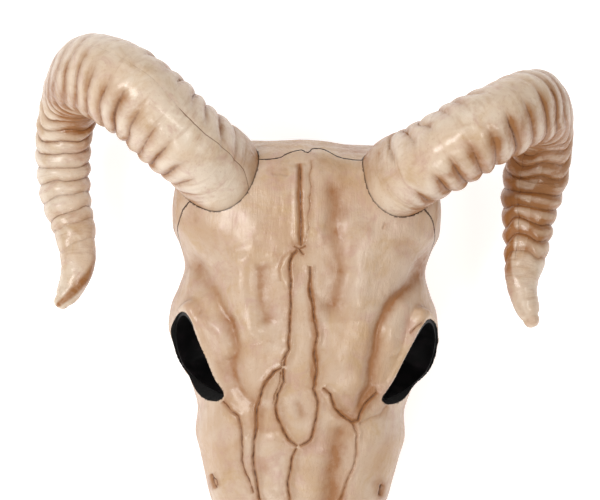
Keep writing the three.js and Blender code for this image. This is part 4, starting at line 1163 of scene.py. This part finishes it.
for shell in (face_shell, back_shell):
    glue = on_glued_edge(shell)
    # painted shade: browner where the shell turns away from the forehead side
    painted_shade_turned_away = 0.6 * smooth_step(0.55, 0.0, normals(shell)[:, 2])
    small, broad = hollows(shell, 6, 0.35), hollows(shell, 40, 1.6)
    hollow = np.clip(0.55 * np.maximum(small, 0) + 0.6 * np.maximum(broad, 0) - 0.25 * np.maximum(-broad, 0),
                     -0.3, 1)
    # the brown laid on each shell: wash in hollows and along cracks, painted shade on turned-away surfaces
    # and in shaded valleys
    if shell is face_shell:
        write_attribute(shell, "wash", np.clip(wash_and_shade_mark + 0.6 * hollow + painted_shade_turned_away, -0.3, 1.2))
        write_attribute(shell, "crack", np.clip(np.maximum(line_mark, glue), 0, 1))
    else:
        write_attribute(shell, "wash", np.clip(0.1 + 0.8 * hollow + painted_shade_turned_away, -0.3, 1.2))
        write_attribute(shell, "crack", np.clip(np.maximum(0.9 * smooth_step(0.55, 1, small), glue), 0, 1))
    write_attribute(shell, "black_paint", in_socket(shell))
    carry_to_row(shell)
    only_selected(shell)
    bpy.ops.object.shade_smooth_by_angle(angle=math.radians(38))

bone_plastic, tree, shader = shader_tree("glossy bone-coloured plastic")
object_place = add_node(tree, "ShaderNodeTexCoord").outputs["Object"]
drawn_place = add_node(tree, "ShaderNodeMapping", {"Vector": object_place, "Scale": (1, 0.3, 1)}).outputs[0]
finish = add_node(tree, "ShaderNodeGroup", node_tree=antique_wash)
for socket, value in (("Place", object_place), ("Wash", attribute_value(tree, "wash")),
                      ("Line", attribute_value(tree, "crack")), ("Drawn", drawn_place)):
    tree.links.new(value, finish.inputs[socket])
finish.inputs["Pale"].default_value = rgb(211, 186, 163)
finish.inputs["Warm"].default_value = rgb(201, 167, 135)
# this brown serves the wash and the painted shade alike
finish.inputs["Brown"].default_value = rgb(160, 108, 64)
finish.inputs["Dark"].default_value = rgb(66, 34, 18)
painted = mixed(tree, attribute_value(tree, "black_paint"), finish.outputs["Color"], rgb(5, 4, 4))
tree.links.new(painted, shader.inputs["Base Color"])
unpainted = maths(tree, "SUBTRACT", 1.0, attribute_value(tree, "black_paint"))
tree.links.new(maths(tree, "ADD", finish.outputs["Roughness"],
                     maths(tree, "MULTIPLY", attribute_value(tree, "black_paint"), 0.55)),
               shader.inputs["Roughness"])
tree.links.new(maths(tree, "MULTIPLY", unpainted, 0.4), shader.inputs["Coat Weight"])
bone_streak_place = add_node(tree, "ShaderNodeMapping",
                             {"Vector": object_place, "Scale": (1, 0.14, 1)}).outputs[0]
drawn_streaks = noise(tree, bone_streak_place, 230, 3, 0.6, 0.3)
bump = add_node(tree, "ShaderNodeBump", {"Height": maths(tree, "ADD", finish.outputs["Height"],
                                                         maths(tree, "MULTIPLY", drawn_streaks, 0.9)),
                                         "Strength": 0.75, "Distance": 0.0009})
tree.links.new(bump.outputs["Normal"], shader.inputs["Normal"])
shader.inputs["Coat Roughness"].default_value = 0.22

for shell, node in ((face_shell, "face_shell"), (back_shell, "back_shell")):
    shell.data.materials.clear()
    shell.data.materials.append(bone_plastic)
    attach(shell, "root")
    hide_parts(node)


# ---------------------------------------------------------------- socket cups
# A cup of thin black plastic is pushed into each eye hole from behind, so the socket reads as a deep dark
# hole.
cup_plastic, tree, shader = shader_tree("black cup plastic")
object_place = add_node(tree, "ShaderNodeTexCoord").outputs["Object"]
dust = noise(tree, object_place, 140, 4, 0.6)
tree.links.new(mixed(tree, ranged(tree, dust, 0.45, 0.8), rgb(4, 3, 4), rgb(26, 16, 21)),
               shader.inputs["Base Color"])
tree.links.new(ranged(tree, dust, 0.3, 0.7, 0.45, 0.6), shader.inputs["Roughness"])
shader.inputs["Specular IOR Level"].default_value = 0.3
for hand, node in ((1, "socket_lining_left"), (-1, "socket_lining_right")):
    cup = bowl(hand, GAP, -0.6)
    combine(cup, "DIFFERENCE", bowl(hand, GAP + 1.6, 0.0))
    cup.name = node + "_cup"
    carry_to_row(cup)
    only_selected(cup)
    bpy.ops.object.shade_smooth_by_angle(angle=math.radians(38))
    cup.data.materials.clear()
    cup.data.materials.append(cup_plastic)
    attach(cup, "root")
    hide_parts(node)


# ---------------------------------------------------------------- update
bpy.context.view_layer.update()
